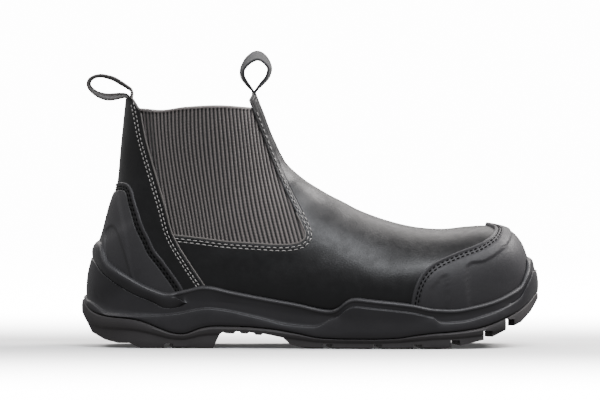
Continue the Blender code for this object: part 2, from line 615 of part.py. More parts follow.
def midsole_column(wall, k):
    """Heights and thicknesses of the midsole's side in one column, from the parting to the rim.

    Round the toe the wall swells from the bead down to the step, with no ledge between.
    """
    parting = wall.on_line(k, PARTING_LINE, STEP_THICK)
    rim = wall.on_line(k, RIM_LINE, RIM_THICK)
    bead = rim - BEAD_HEIGHT
    share = wall.at(k, rim, BEAD_THICK)[0] / LENGTH + 0.5
    if share < BAND_LINE[-1][0]:
        bead = min(bead, wall.on_line(k, BAND_LINE, BEAD_THICK))
    step = min(max(wall.on_line(k, STEP_LINE, STEP_THICK), parting + LEAST_STEP), bead - LEAST_WALL)
    toe = max(0.0, wall.outward[k][0]) ** 2
    low = WALL_THICK + (STEP_THICK - WALL_THICK) * toe
    high = WALL_THICK + (BEAD_THICK - WALL_THICK) * toe
    return [
        (parting, STEP_THICK), (step - EDGE_ROUND, STEP_THICK),
        (step + EDGE_ROUND / 2, STEP_THICK - EDGE_ROUND * (1 - toe)), (step + 2 * EDGE_ROUND, low),
        (bead - EDGE_ROUND, high), (bead + EDGE_ROUND, BEAD_THICK), (rim - 2 * EDGE_ROUND, BEAD_THICK),
        (rim - EDGE_ROUND / 3, BEAD_THICK - EDGE_ROUND), (rim, RIM_THICK)]


def build_midsole(grid, wall, finish):
    """Moulded cup that the upper stands in."""
    count = len(wall.feet)
    columns = [midsole_column(wall, k) for k in range(count)]
    rings = [[parting_inner(wall, k) for k in range(count)]]
    for r in range(len(columns[0])):
        rings.append([wall.at(k, *columns[k][r]) for k in range(count)])
    midsole = make_object("midsole", *wall.stack(rings), finish)
    combine(midsole, make_object("cup_cut", *grid.form(GAP, GAP)))


def build_sole_clear(wall):
    """Guide over the midsole's rim that ends the overlays just above it."""
    lift, spread, levels = 1.5 * GAP, RIM_THICK + COUNTER_THICK, 5
    rings = [[] for _ in range(levels + 3)]
    for k in range(len(wall.feet)):
        low = parting_inner(wall, k)
        high = wall.on_line(k, RIM_LINE, spread) + lift
        rings[0].append(low)
        for level in range(levels + 1):
            rings[level + 1].append(wall.at(k, low[2] + (high - low[2]) * level / levels, spread))
        rim = wall.at(k, wall.on_line(k, RIM_LINE, RIM_THICK), RIM_THICK)
        rings[-1].append(rim + np.array([-wall.outward[k][0], 0.0, 1.0]) * lift)
    return make_object("sole_clear", *wall.stack(rings))


def build_outsole(wall, finish):
    """Tread with heel, arch and toe spring."""
    count = len(wall.feet)
    partings = [wall.on_line(k, PARTING_LINE, STEP_THICK) - GAP for k in range(count)]
    ledges = [p * LEDGE_SHARE for p in partings]
    down = np.array([0.0, 0.0, -GAP])
    flange = [FLANGE_THICK + HEEL_FLARE * max(0.0, -out[0]) ** 2 for out in wall.outward]
    rings = [
        [parting_inner(wall, k) + down for k in range(count)],
        [wall.at(k, p + GAP, STEP_THICK) + down for k, p in enumerate(partings)],
        [wall.at(k, p - EDGE_ROUND, flange[k]) for k, p in enumerate(partings)],
        [wall.at(k, p + EDGE_ROUND, flange[k]) for k, p in enumerate(ledges)],
        [wall.at(k, p, flange[k] - LEDGE_INSET) for k, p in enumerate(ledges)],
        [wall.at(k, p * FOOT_SHARE, FOOT_THICK + EDGE_ROUND) for k, p in enumerate(partings)],
        [wall.at(k, 0.0, FOOT_THICK) for k in range(count)]]
    outsole = make_object("outsole", *wall.stack(rings), finish)
    for name, outline in (("arch_cut", ARCH), ("toe_cut", TOE_SPRING), ("heel_cut", HEEL_BEVEL)):
        combine(outsole, prism(name, [point(p) for p in outline]))
    combine(outsole, grooves("cross_cut", [cross_groove(share) for share in CROSS_GROOVES]))
    combine(outsole, grooves("channel_cut", [channel(*row) for row in CHANNELS]))


def cross_groove(share):
    """Plan of a groove across the tread that points back at the middle line, and its top."""
    half, reach = GROOVE_WIDTH / 2, BALL_WIDTH
    x, sweep = along(share), GROOVE_SWEEP * LENGTH
    plan = [(x + half, -reach), (x + half - sweep, MIDDLE_Y), (x + half, reach),
            (x - half, reach), (x - half - sweep, MIDDLE_Y), (x - half, -reach)]
    return plan, LUG_DEPTH + curve(TOE_SPRING[1:-1], share) * LEG_HEIGHT


def channel(start, end, off):
    """Plan of a groove along the tread, and its top."""
    y, half = MIDDLE_Y + off * BALL_WIDTH, GROOVE_WIDTH / 3
    plan = [(along(start), y - half), (along(end), y - half), (along(end), y + half),
            (along(start), y + half)]
    return plan, LUG_DEPTH


def grooves(name, plans):
    """Guide of upright blocks under the tread. plans: (plan, top) pairs."""
    points, faces = [], []
    for plan, top in plans:
        start, n = len(points), len(plan)
        points += [(x, y, z) for z in (-LUG_DEPTH, top) for x, y in plan]
        faces.append(tuple(start + k for k in range(n)))
        faces.append(tuple(start + n + k for k in reversed(range(n))))
        faces += [(start + k, start + (k + 1) % n, start + (k + 1) % n + n, start + k + n)
                  for k in range(n)]
    return make_object(name, points, faces)


def build_insole(grid, finish):
    """Flat insock on the foot bed."""
    outline = Wall(grid)
    rings = []
    for up in (0.0, INSOLE_THICK):
        ring = []
        for foot, outward in zip(outline.feet, outline.outward):
            p = foot - outward * (LEATHER + INSOLE_PLAY)
            p[2] = bed(p[0]) + GAP + up
            ring.append(p)
        rings.append(ring)
    make_object("insole", *outline.stack(rings), finish)


def drop(anchor, lean, length, width):
    """Drop-shaped side view outline with its point on the anchor."""
    widest = 4 / (3 * math.sqrt(3))
    tip = np.array([math.cos(lean), math.sin(lean)])
    side = np.array([-tip[1], tip[0]])
    outline = []
    for k in range(LOOP_SAMPLES):
        angle = 2 * math.pi * k / LOOP_SAMPLES
        swell = math.sin(angle) * abs(math.sin(angle / 2)) / widest
        outline.append(anchor + tip * length * (1 - math.cos(angle)) / 2 + side * width / 2 * swell)
    return outline


def build_loop(grid, name, turn, ear, lean, length, width, finish):
    """Pull loop: a ring of tape on a tab sewn inside the collar."""
    low, high = float(CLOSED_FROM), float(len(SECTIONS) - 1)
    height = max(p[1] for p in ear) * LEG_HEIGHT
    for _ in range(HALVINGS):
        middle = (low + high) / 2
        low, high = (middle, high) if skin(middle, turn)[2] < height else (low, middle)
    face = skin(low, turn)
    inward = 1.0 if face[0] < along(0.25) else -1.0
    depth = LEATHER + GAP + TAPE_THICK / 2
    loop = make_object(name, *grid.shell(-depth - TAPE_THICK / 2, -depth + TAPE_THICK / 2), finish)
    near, far = face[0] - inward * TAB_DEPTH, face[0] + inward * TAPE_WIDTH
    box = [np.array([near, height - TAB_DEPTH]), np.array([far, height - TAB_DEPTH]),
           np.array([far, height + TAPE_THICK]), np.array([near, height + TAPE_THICK])]
    sides = MIDDLE_Y - TAPE_WIDTH / 2, MIDDLE_Y + TAPE_WIDTH / 2
    combine(loop, prism(name + "_tab", box, *sides), "INTERSECT")
    tip = np.array([math.cos(lean), math.sin(lean)])
    anchor = np.array([face[0] + inward * depth, height + TAPE_THICK / 2])
    combine(loop, prism(name + "_drop", drop(anchor, lean, length, width), *sides), "UNION")
    inner = drop(anchor + tip * 2 * TAPE_THICK, lean, length - 3 * TAPE_THICK, width - 2 * TAPE_THICK)
    combine(loop, prism(name + "_hole", inner))


def build():
    remove_everything()
    leather = material("leather", (0.012, 0.012, 0.013), 0.38)
    elastic = material("elastic", (0.20, 0.185, 0.175), 0.85)
    moulded = material("moulded_overlay", (0.038, 0.038, 0.042), 0.62)
    sole = material("midsole", (0.030, 0.029, 0.031), 0.55)
    tread = material("outsole", (0.018, 0.017, 0.016), 0.65)
    tape = material("tape", (0.020, 0.020, 0.022), 0.80)
    lining = material("insole", (0.050, 0.050, 0.052), 0.90)
    grid = Skin()
    wall = Wall(grid)
    sole_clear = build_sole_clear(wall)
    build_outsole(wall, tread)
    build_midsole(grid, wall, sole)
    build_insole(grid, lining)
    build_upper(grid, leather)
    build_gores(grid, elastic)
    build_strip(grid, sole_clear, leather)
    build_counter(grid, sole_clear, moulded)
    build_cap(grid, sole_clear, moulded)
    build_loop(grid, "pull_loop_front", 0.0, FRONT_EAR, math.radians(83),
               FRONT_LOOP_LONG, FRONT_LOOP_WIDE, tape)
    build_loop(grid, "pull_loop_rear", 1.0, REAR_EAR, math.radians(158),
               REAR_LOOP_LONG, REAR_LOOP_WIDE, tape)


build()
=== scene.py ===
"""Looks of the side gore work boot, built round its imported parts.

Metres, +Z up, toe towards +X, the inner side of the foot towards +Y, sole on Z = 0.
"""
import math
from collections import namedtuple

import bmesh
import bpy
import numpy as np
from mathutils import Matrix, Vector
from mathutils.bvhtree import BVHTree
from mathutils.interpolate import poly_3d_calc


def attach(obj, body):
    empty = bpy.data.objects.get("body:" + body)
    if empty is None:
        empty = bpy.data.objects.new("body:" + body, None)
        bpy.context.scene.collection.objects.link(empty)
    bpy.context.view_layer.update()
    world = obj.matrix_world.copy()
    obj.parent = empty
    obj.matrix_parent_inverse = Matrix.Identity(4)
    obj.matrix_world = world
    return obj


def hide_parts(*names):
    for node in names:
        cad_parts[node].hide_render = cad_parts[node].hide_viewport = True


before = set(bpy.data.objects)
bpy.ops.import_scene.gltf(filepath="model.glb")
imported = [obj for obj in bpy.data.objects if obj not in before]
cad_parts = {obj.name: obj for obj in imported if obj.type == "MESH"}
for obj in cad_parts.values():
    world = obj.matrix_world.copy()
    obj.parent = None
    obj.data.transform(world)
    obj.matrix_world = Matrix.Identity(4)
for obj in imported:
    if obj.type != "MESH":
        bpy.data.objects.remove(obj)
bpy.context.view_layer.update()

# Driving sizes
LENGTH = 0.3042           # sole unit, heel to toe
LEG_HEIGHT = 0.1702       # floor to the tip of the front ear
BALL_WIDTH = 0.1010       # upper across the ball of the foot
BED_HEEL = 0.0310         # foot bed above the floor, under the heel
BED_BALL = 0.0190         # foot bed above the floor, under the ball
BED_TOE = 0.0275          # foot bed above the floor, at the toe tip
LEATHER = 0.0022          # wall of the upper
GORE_THICK = 0.0012       # elastic without its ribs
GORE_SINK = 0.0016        # floor of the elastic's gaps below the leather's face
RIB_HEIGHT = 0.0010
STRIP_THICK = 0.0013      # back strip
CAP_THICK = 0.0017        # toe cap
COUNTER_THICK = 0.0019    # heel counter
INSOLE_THICK = 0.0040
GAP = 0.0003              # between pieces that touch
RIM_THICK = 0.0024        # midsole past the upper, at its top edge
BEAD_THICK = 0.0036       # midsole past the upper, over the top bead
WALL_THICK = 0.0031       # midsole past the upper, between bead and step
STEP_THICK = 0.0047       # midsole past the upper, below the step
FLANGE_THICK = 0.0051     # outsole past the upper, at the parting line
HEEL_FLARE = 0.0028       # what the outsole adds to that at the back of the heel
FOOT_THICK = 0.0036       # outsole past the upper, on the floor
BEAD_HEIGHT = 0.0030
BAND_RELIEF = 0.0019      # middle of the band round the heel, past the wall under it
BAND_ROLL = 0.0014        # what its upper half leans back by, up to the rim
BAND_SINK = 0.0006        # its lower edge, behind that wall
HEEL_BULGE = 0.0022       # what the heel cup swells by on its way down
LUG_DEPTH = 0.0032
GROOVE_WIDTH = 0.0060
TAPE_THICK = 0.0018
TAPE_WIDTH = 0.0200
RIDGE_FADE = 0.45         # sideways part of the normal below which the folds die out
# Stitches: radius of the thread, pitch and length of a stitch
Thread = namedtuple("Thread", "radius pitch length")
GORE_THREAD = Thread(0.00032, 0.0041, 0.0028)
STRIP_THREAD = Thread(0.00032, 0.0031, 0.0021)
BLACK_THREAD = Thread(0.00042, 0.0035, 0.0026)
SEAT_INSET = 0.0015       # inner edge of both soles, inside the upper's edge
SEAT_DROP = 0.0045        # their least depth below the foot bed
SEAM_REACH = 0.0080       # width of the strip beside a cut edge that its troughs fill
# Rings of a stitch: share of its length, then lift and thickness in radii of the thread
STITCH_SHAPE = [
    (0.0, -1.2, 0.5), (0.12, 0.1, 0.9), (0.5, 0.7, 1.0), (0.88, 0.1, 0.9), (1.0, -1.2, 0.5)]
FAR = 0.3                 # past everything, for cutters
# The floor glows little in a strip under the boot and brightly away from it: the dim strip is painted
# shade round the boot's contact shadow.
PAINTED_SHADE_GLOW = 0.05         # light that the floor gives off under the boot
BACKDROP_GLOW = 14.0      # and away from it
PAINTED_SHADE_REACH = 0.07         # distance from the middle line up to which the first holds
FLOOR_BRIGHT = 0.60       # and from which the second does

# Fineness of the meshes
ROWS_A_SECTION = 6        # rows of the upper for each row of the section table
ROUND = 140               # points round a section, less one
SOLE_PITCH = 0.0016       # columns round the sole
CAP_COLUMNS = 260
RIM_REACH = 0.0075        # fine rows behind the cap's edge
COUNTER_COLUMNS = 230

# Sections of the last, from the toe tip to above the collar. Each lies in a plane that holds
# the Y axis and runs from a point on the foot bed or back seam (foot) to one on the top line (top).
# top_x and foot_x: shares of LENGTH from the heel. top_z: share of LEG_HEIGHT. rise: share of
# LEG_HEIGHT above the foot bed. outer, inner and ridge: shares of BALL_WIDTH from the middle line.
# widest: share of the way up. turn: share of the points above it. power_up, power_down: roundness.
# edge: width at the foot point as a share of the widest, 0 where the section closes at the back.
Section = namedtuple(
    "Section", "top_x top_z foot_x rise outer inner ridge widest turn power_up power_down edge")
SECTIONS = [
    Section(0.9840, 0.160, 0.9840, 0.000, -0.060, 0.060, 0.060, 0.45, 0.72, 2.3, 2.2, 0.96),
    Section(0.9868, 0.200, 0.9820, 0.000, 0.035, 0.142, 0.060, 0.45, 0.72, 2.3, 2.2, 0.96),
    Section(0.9873, 0.248, 0.9784, 0.000, 0.102, 0.198, 0.060, 0.44, 0.72, 2.3, 2.2, 0.96),
    Section(0.9838, 0.303, 0.9724, 0.000, 0.163, 0.252, 0.060, 0.42, 0.72, 2.4, 2.2, 0.96),
    Section(0.9758, 0.357, 0.9624, 0.000, 0.232, 0.308, 0.060, 0.40, 0.72, 2.5, 2.2, 0.96),
    Section(0.9638, 0.408, 0.9480, 0.000, 0.293, 0.353, 0.060, 0.38, 0.72, 2.6, 2.2, 0.96),
    Section(0.9444, 0.447, 0.9292, 0.000, 0.345, 0.391, 0.060, 0.36, 0.73, 2.7, 2.2, 0.96),
    Section(0.9190, 0.4665, 0.9055, 0.000, 0.389, 0.421, 0.060, 0.34, 0.74, 2.7, 2.2, 0.96),
    Section(0.8850, 0.4735, 0.8750, 0.000, 0.429, 0.446, 0.060, 0.32, 0.75, 2.6, 2.2, 0.96),
    Section(0.8420, 0.4695, 0.8353, 0.000, 0.465, 0.464, 0.060, 0.30, 0.76, 2.4, 2.2, 0.96),
    Section(0.7890, 0.4605, 0.7860, 0.000, 0.493, 0.477, 0.058, 0.28, 0.77, 2.2, 2.2, 0.95),
    Section(0.7300, 0.4690, 0.7230, 0.000, 0.507, 0.470, 0.052, 0.26, 0.78, 2.1, 2.2, 0.94),
    Section(0.6710, 0.4940, 0.6510, 0.000, 0.500, 0.440, 0.045, 0.24, 0.78, 2.00, 2.2, 0.93),
    Section(0.6120, 0.5320, 0.5660, 0.000, 0.470, 0.400, 0.036, 0.24, 0.77, 2.05, 2.2, 0.92),
    Section(0.5723, 0.5687, 0.4600, 0.000, 0.430, 0.370, 0.026, 0.25, 0.74, 2.10, 2.2, 0.92),
    Section(0.5427, 0.5952, 0.3420, 0.000, 0.392, 0.354, 0.016, 0.28, 0.70, 2.15, 2.3, 0.92),
    Section(0.5164, 0.6228, 0.2300, 0.000, 0.365, 0.348, 0.008, 0.32, 0.65, 2.20, 2.4, 0.93),
    Section(0.4967, 0.6445, 0.1560, 0.000, 0.349, 0.344, 0.004, 0.35, 0.60, 2.25, 2.5, 0.93),
    Section(0.4836, 0.6616, 0.1120, 0.000, 0.344, 0.343, 0.002, 0.36, 0.58, 2.30, 2.5, 0.90),
    Section(0.4704, 0.6810, 0.0790, 0.000, 0.341, 0.341, 0.000, 0.37, 0.56, 2.30, 2.6, 0.80),
    Section(0.4589, 0.6992, 0.0530, 0.000, 0.339, 0.339, 0.000, 0.38, 0.55, 2.30, 2.6, 0.63),
    Section(0.4510, 0.7139, 0.0350, 0.000, 0.337, 0.337, 0.000, 0.38, 0.54, 2.30, 2.6, 0.42),
    Section(0.4448, 0.7286, 0.0270, 0.000, 0.336, 0.336, 0.000, 0.38, 0.53, 2.30, 2.6, 0.24),
    Section(0.4392, 0.7468, 0.0240, 0.006, 0.335, 0.335, 0.000, 0.38, 0.52, 2.30, 2.6, 0.0),
    Section(0.4333, 0.7667, 0.0222, 0.053, 0.333, 0.333, 0.000, 0.38, 0.52, 2.30, 2.6, 0.0),
    Section(0.4264, 0.7938, 0.0240, 0.112, 0.330, 0.330, 0.000, 0.39, 0.52, 2.30, 2.5, 0.0),
    Section(0.4204, 0.8173, 0.0340, 0.188, 0.327, 0.327, 0.000, 0.40, 0.52, 2.30, 2.4, 0.0),
    Section(0.4135, 0.8461, 0.0477, 0.253, 0.325, 0.325, 0.000, 0.42, 0.52, 2.30, 2.3, 0.0),
    Section(0.4060, 0.8813, 0.0635, 0.360, 0.325, 0.325, 0.000, 0.44, 0.52, 2.30, 2.2, 0.0),
    Section(0.3988, 0.9172, 0.0800, 0.455, 0.329, 0.329, 0.000, 0.46, 0.52, 2.30, 2.2, 0.0),
    Section(0.3899, 0.9565, 0.0875, 0.590, 0.336, 0.336, 0.000, 0.47, 0.51, 2.30, 2.2, 0.0),
    Section(0.3790, 1.0076, 0.0960, 0.740, 0.344, 0.344, 0.000, 0.48, 0.50, 2.30, 2.2, 0.0),
    Section(0.3685, 1.0576, 0.1035, 0.860, 0.350, 0.350, 0.000, 0.48, 0.50, 2.30, 2.2, 0.0),
]
MIDDLE_Y = (max(row.outer for row in SECTIONS) - max(row.inner for row in SECTIONS)) * BALL_WIDTH / 2
CLOSED_FROM = next(i for i, row in enumerate(SECTIONS) if row.edge == 0.0)

# Heights along the shoe: share of LENGTH from the heel, then share of the way from
# BED_BALL up to BED_HEEL (behind the ball) or BED_TOE (ahead of it).
BED_BACK = [(0.02, 1.0), (0.17, 1.0), (0.30, 0.86), (0.43, 0.42), (0.56, 0.08), (0.68, 0.0)]
BED_FRONT = [(0.72, 0.0), (0.80, 0.14), (0.90, 0.52), (0.99, 1.0)]

# Side profiles of the sole: share of LENGTH from the heel, share of LEG_HEIGHT.
# Top edge of the midsole
RIM_LINE = [
    (0.020, 0.425), (0.040, 0.417), (0.056, 0.345), (0.084, 0.305), (0.113, 0.273),
    (0.149, 0.241), (0.189, 0.219), (0.224, 0.229), (0.269, 0.246), (0.328, 0.225),
    (0.385, 0.205), (0.469, 0.178), (0.546, 0.152), (0.562, 0.163), (0.578, 0.189),
    (0.596, 0.201), (0.634, 0.194), (0.724, 0.176), (0.766, 0.160), (0.811, 0.156),
    (0.855, 0.168), (0.900, 0.188), (0.945, 0.225), (0.968, 0.257), (0.974, 0.300),
    (0.978, 0.345), (0.990, 0.350)]
# Lower and upper edge of the band round the heel, which ends in a point under the ankle
BAND_LOW = [
    (0.005, 0.365), (0.0207, 0.343), (0.044, 0.2905), (0.078, 0.245), (0.120, 0.204),
    (0.158, 0.1775), (0.177, 0.1586), (0.192, 0.1543), (0.215, 0.1626), (0.2315, 0.1775)]
BAND_HIGH = [
    (0.000, 0.480), (0.040, 0.450), (0.056, 0.380), (0.084, 0.335), (0.113, 0.300),
    (0.149, 0.262), (0.172, 0.230), (0.192, 0.212), (0.203, 0.2015), (0.216, 0.1895),
    (0.2315, 0.1775)]
# Step between the upper and lower wall of the midsole
STEP_LINE = [
    (0.010, 0.182), (0.060, 0.132), (0.160, 0.127), (0.216, 0.136), (0.244, 0.147),
    (0.277, 0.155), (0.317, 0.147), (0.356, 0.132), (0.398, 0.114), (0.440, 0.095),
    (0.482, 0.086), (0.511, 0.084), (0.533, 0.102), (0.555, 0.135), (0.571, 0.163),
    (0.590, 0.187), (0.634, 0.182), (0.724, 0.164), (0.755, 0.150), (0.785, 0.100),
    (0.830, 0.104), (0.878, 0.125), (0.926, 0.156), (0.967, 0.201), (0.988, 0.293)]
# Joint between midsole and outsole
PARTING_LINE = [
    (0.000, 0.200), (0.008, 0.190), (0.021, 0.148), (0.048, 0.127), (0.114, 0.115),
    (0.142, 0.101), (0.169, 0.081), (0.205, 0.060), (0.224, 0.058), (0.242, 0.068),
    (0.260, 0.081), (0.291, 0.089), (0.356, 0.087), (0.412, 0.079), (0.469, 0.062),
    (0.522, 0.044), (0.578, 0.040), (0.634, 0.040), (0.691, 0.044), (0.724, 0.053),
    (0.769, 0.063), (0.814, 0.069), (0.866, 0.082), (0.902, 0.101), (0.938, 0.129),
    (0.962, 0.152), (0.983, 0.182), (1.000, 0.212)]

# Cutters of the tread, seen from the side, in the same shares: the arch with its breast and
# small ribs, and the upward curve under the toe and behind the heel
ARCH = [
    (0.288, -0.030), (0.288, 0.000), (0.297, 0.035), (0.303, 0.056), (0.309, 0.064),
    (0.318, 0.059), (0.333, 0.058), (0.338, 0.067), (0.346, 0.067), (0.350, 0.059),
    (0.362, 0.058), (0.368, 0.064), (0.378, 0.061), (0.381, 0.054), (0.393, 0.053),
    (0.397, 0.059), (0.441, 0.043), (0.458, 0.016), (0.495, 0.000), (0.495, -0.030)]
TOE_SPRING = [
    (0.786, -0.030), (0.786, 0.000), (0.842, 0.020), (0.890, 0.040), (0.925, 0.070),
    (0.962, 0.102), (0.984, 0.141), (0.999, 0.181), (1.030, 0.260), (1.030, -0.030)]
HEEL_BEVEL = [
    (-0.030, -0.030), (-0.030, 0.200), (0.000, 0.130), (0.015, 0.082), (0.022, 0.059),
    (0.051, 0.032), (0.080, 0.020), (0.106, 0.020), (0.130, 0.000), (0.130, -0.030)]
# Cross grooves of the tread: middle of each as a share of LENGTH
CROSS_GROOVES = [0.210, 0.555, 0.661, 0.749, 0.832, 0.905, 0.956]
GROOVE_SWEEP = 0.030      # share of LENGTH that a cross groove runs back at the middle line
# Grooves along the tread: from and to as shares of LENGTH, share of BALL_WIDTH off the middle
CHANNELS = [(0.520, 0.850, -0.17), (0.520, 0.850, 0.19), (0.145, 0.270, 0.0)]

# Seams in the side view: share of LENGTH from the heel, share of LEG_HEIGHT
GORE_REAR = [(0.127, 0.930), (0.139, 0.816), (0.161, 0.672), (0.180, 0.551), (0.198, 0.442)]
GORE_LOW = [(0.254, 0.431), (0.315, 0.417), (0.377, 0.410), (0.439, 0.404)]
GORE_CORNER = [(0.474, 0.412), (0.487, 0.428), (0.490, 0.447), (0.485, 0.472)]
GORE_FRONT = [(0.470, 0.528), (0.442, 0.628), (0.4175, 0.727), (0.396, 0.827), (0.372, 0.937)]
REAR_EAR = [(0.121, 0.940), (0.106, 0.980), (0.090, 0.972), (0.040, 0.972)]
FRONT_EAR = [(0.3655, 0.968), (0.372, 0.988), (0.3765, 1.000), (0.430, 1.000)]
GORE_TOP = [(0.110, 0.937), (0.168, 0.929), (0.225, 0.941), (0.300, 0.947), (0.390, 0.940)]
STRIP_FRONT = [(0.108, 1.100), (0.129, 0.938), (0.142, 0.816), (0.164, 0.672), (0.183, 0.551),
               (0.2005, 0.438), (0.236, 0.331), (0.268, 0.246), (0.290, 0.180)]
COUNTER_EDGE = [(0.000, 0.634), (0.072, 0.636), (0.090, 0.647), (0.101, 0.645), (0.109, 0.635),
                (0.116, 0.611), (0.121, 0.575), (0.129, 0.529), (0.139, 0.473), (0.151, 0.429),
                (0.162, 0.386), (0.180, 0.345), (0.202, 0.292), (0.223, 0.236), (0.240, 0.170)]
# Rear edge of the toe cap: place round the section from the ridge (0) to the foot bed (1),
# share of LENGTH from the heel
CAP_EDGE = [(0.00, 0.886), (0.08, 0.896), (0.17, 0.904), (0.31, 0.896), (0.395, 0.878),
            (0.435, 0.856), (0.465, 0.824), (0.505, 0.788), (0.57, 0.757), (0.655, 0.736),
            (0.74, 0.725), (0.81, 0.720), (1.00, 0.715)]

# Ribs of the elastic: number of the rib, its place at the top and at the bottom as side view
# shares of LENGTH. The ribs bend forward on their way down, by the given power.
Rib = namedtuple("Rib", "number top bottom")
RIBS = [
    Rib(-1, 0.1150, 0.1550), Rib(0, 0.1234, 0.1652), Rib(3.5, 0.1520, 0.1960), Rib(15, 0.2489, 0.2842),
    Rib(30, 0.3734, 0.4251), Rib(36.5, 0.4229, 0.4857), Rib(39, 0.4420, 0.5090)]
RIB_ENDS = (0.950, 0.395)  # heights of those places, shares of LEG_HEIGHT
RIB_BEND = 1.6
RIB_COLUMNS = 8           # columns of the mesh for each rib
HEM = 0.0017              # plain edge along the top
GORE_TUCK = 0.0014        # what the elastic runs under the leather
GORE_STRETCH = 0.0012     # gap at the top that the last point of a column is moved up to close
ABOVE_BOOT = 0.2          # height over which an outline is only the sky of its cutter

# Low relief of the mouldings in the side view: outlines in the same shares
CAP_FRONT_PANEL = [(0.846, 0.100), (0.8455, 0.169), (0.842, 0.318), (0.878, 0.338), (0.912, 0.374),
                   (0.932, 0.410), (0.9405, 0.445), (0.944, 0.520), (1.100, 0.520), (1.100, 0.100)]
CAP_FAN_PANEL = [(0.752, 0.100), (0.7544, 0.181), (0.7634, 0.232), (0.7769, 0.260), (0.7973, 0.280),
                 (0.7973, 0.100)]
COUNTER_ARCH = [(0.056, 0.280), (0.0562, 0.433), (0.062, 0.462), (0.0718, 0.4724), (0.0815, 0.453),
                (0.0943, 0.382), (0.1114, 0.272), (0.120, 0.230)]
COUNTER_FACET = [(0.082, 0.602), (0.100, 0.440), (0.1097, 0.295), (0.118, 0.200), (-0.100, 0.200),
                 (-0.100, 0.602)]

# Soft folds of the leather in the side view: middle in the same shares, lean in degrees from
# the level, half length, half width and height in metres (below zero for a trough)
Fold = namedtuple("Fold", "x z lean length width height")
FOLDS = [
    Fold(0.470, 0.700, 52.0, 0.030, 0.0060, -0.0009),
    Fold(0.505, 0.640, 38.0, 0.030, 0.0070, 0.0008),
    Fold(0.535, 0.520, -32.0, 0.036, 0.0080, -0.0010),
    Fold(0.570, 0.470, -28.0, 0.040, 0.0090, 0.0007),
    Fold(0.610, 0.385, -22.0, 0.036, 0.0085, -0.0006),
    Fold(0.430, 0.335, 6.0, 0.045, 0.0080, -0.0006),
    Fold(0.340, 0.345, 4.0, 0.040, 0.0090, 0.0005),
    Fold(0.700, 0.300, 12.0, 0.026, 0.0090, 0.0004),
    Fold(0.115, 0.780, 76.0, 0.024, 0.0050, -0.0004),
]

# Centre lines of the pull loops in the side view, in the same shares, with the tape's lean
# about its own run in degrees
REAR_LOOP = [
    (0.1035, 0.9500, 0), (0.1079, 0.9920, 0), (0.1060, 1.0077, 3), (0.0958, 1.0215, 4),
    (0.0815, 1.0376, 5), (0.0683, 1.0510, 5), (0.0547, 1.0589, 4), (0.0410, 1.0636, 3),
    (0.0273, 1.0605, 2), (0.0163, 1.0491, 2), (0.0126, 1.0314, 2), (0.0163, 1.0148, 3),
    (0.0273, 0.9967, 5), (0.0410, 0.9853, 8), (0.0547, 0.9802, 10), (0.0683, 0.9812, 10),
    (0.0815, 0.9845, 8), (0.0930, 0.9853, 5), (0.1000, 0.9760, 2), (0.1030, 0.9500, 0)]
FRONT_LOOP = [
    (0.3740, 0.9550, 0), (0.3752, 0.9979, 0), (0.3634, 1.0274, 3), (0.3524, 1.0570, 5),
    (0.3509, 1.0845, 6), (0.3564, 1.1062, 9), (0.3656, 1.1259, 13), (0.3778, 1.1400, 16),
    (0.3866, 1.1420, 16), (0.3965, 1.1330, 13), (0.4053, 1.1160, 9), (0.4104, 1.0983, 6),
    (0.4108, 1.0826, 5), (0.4057, 1.0570, 4), (0.3943, 1.0333, 3), (0.3821, 1.0078, 0),
    (0.3775, 0.9900, 0), (0.3770, 0.9550, 0)]


def along(share):
    """X of a share of the length, counted from the heel."""
    return (share - 0.5) * LENGTH


def point(pair):
    """Side view point (x, z) of a pair of shares."""
    return np.array([along(pair[0]), pair[1] * LEG_HEIGHT])


def hermite(low, high, slope_low, slope_high, width, part):
    """Cubic between two values with given slopes."""
    square, cube = part * part, part ** 3
    return ((2 * cube - 3 * square + 1) * low + (cube - 2 * square + part) * width * slope_low
            + (3 * square - 2 * cube) * high + (cube - square) * width * slope_high)


def curve(rows, where):
    """Height of a smooth curve through rows of (place, height) that never overshoots them."""
    xs = [row[0] for row in rows]
    ys = [row[1] for row in rows]
    if where <= xs[0]:
        return ys[0]
    if where >= xs[-1]:
        return ys[-1]
    i = max(k for k in range(len(xs) - 1) if xs[k] <= where)
    slopes = []
    for k in (i, i + 1):
        if 0 < k < len(xs) - 1:
            back = (ys[k] - ys[k - 1]) / (xs[k] - xs[k - 1])
            ahead = (ys[k + 1] - ys[k]) / (xs[k + 1] - xs[k])
            slopes.append(2 * back * ahead / (back + ahead) if back * ahead > 0 else 0.0)
        else:
            slopes.append(0.0)
    width = xs[i + 1] - xs[i]
    return hermite(ys[i], ys[i + 1], slopes[0], slopes[1], width, (where - xs[i]) / width)


def rounded(points, steps=6):
    """Points of a smooth curve through the given ones."""
    points = [np.asarray(p, float) for p in points]
    ends = [2 * points[0] - points[1]] + points + [2 * points[-1] - points[-2]]
    found = []
    for i in range(1, len(ends) - 2):
        before, low, high, after = ends[i - 1:i + 3]
        for k in range(steps):
            found.append(hermite(low, high, (high - before) / 2, (after - low) / 2, 1.0, k / steps))
    return found + [points[-1]]


def unit(vectors):
    """The same directions, each 1 long."""
    vectors = np.asarray(vectors, float)
    return vectors / np.linalg.norm(vectors, axis=-1, keepdims=True)


def run_of(points):
    """Distance along a line of points, from its start to each of them."""
    steps = np.linalg.norm(np.diff(np.asarray(points, float), axis=0), axis=1)
    return np.concatenate([[0.0], np.cumsum(steps)])


def spaced(points, count):
    """The given number of points at even steps along a line of points."""
    points = np.array(points, float)
    run = run_of(points)
    places = np.linspace(0.0, run[-1], count)
    return np.stack([np.interp(places, run, points[:, k]) for k in range(points.shape[1])], axis=1)


def length_of(points):
    """Length of a line of points."""
    return float(run_of(points)[-1])


def soft_step(value):
    """0 below 0, 1 above 1, smooth between."""
    value = np.clip(value, 0.0, 1.0)
    return value * value * (3 - 2 * value)


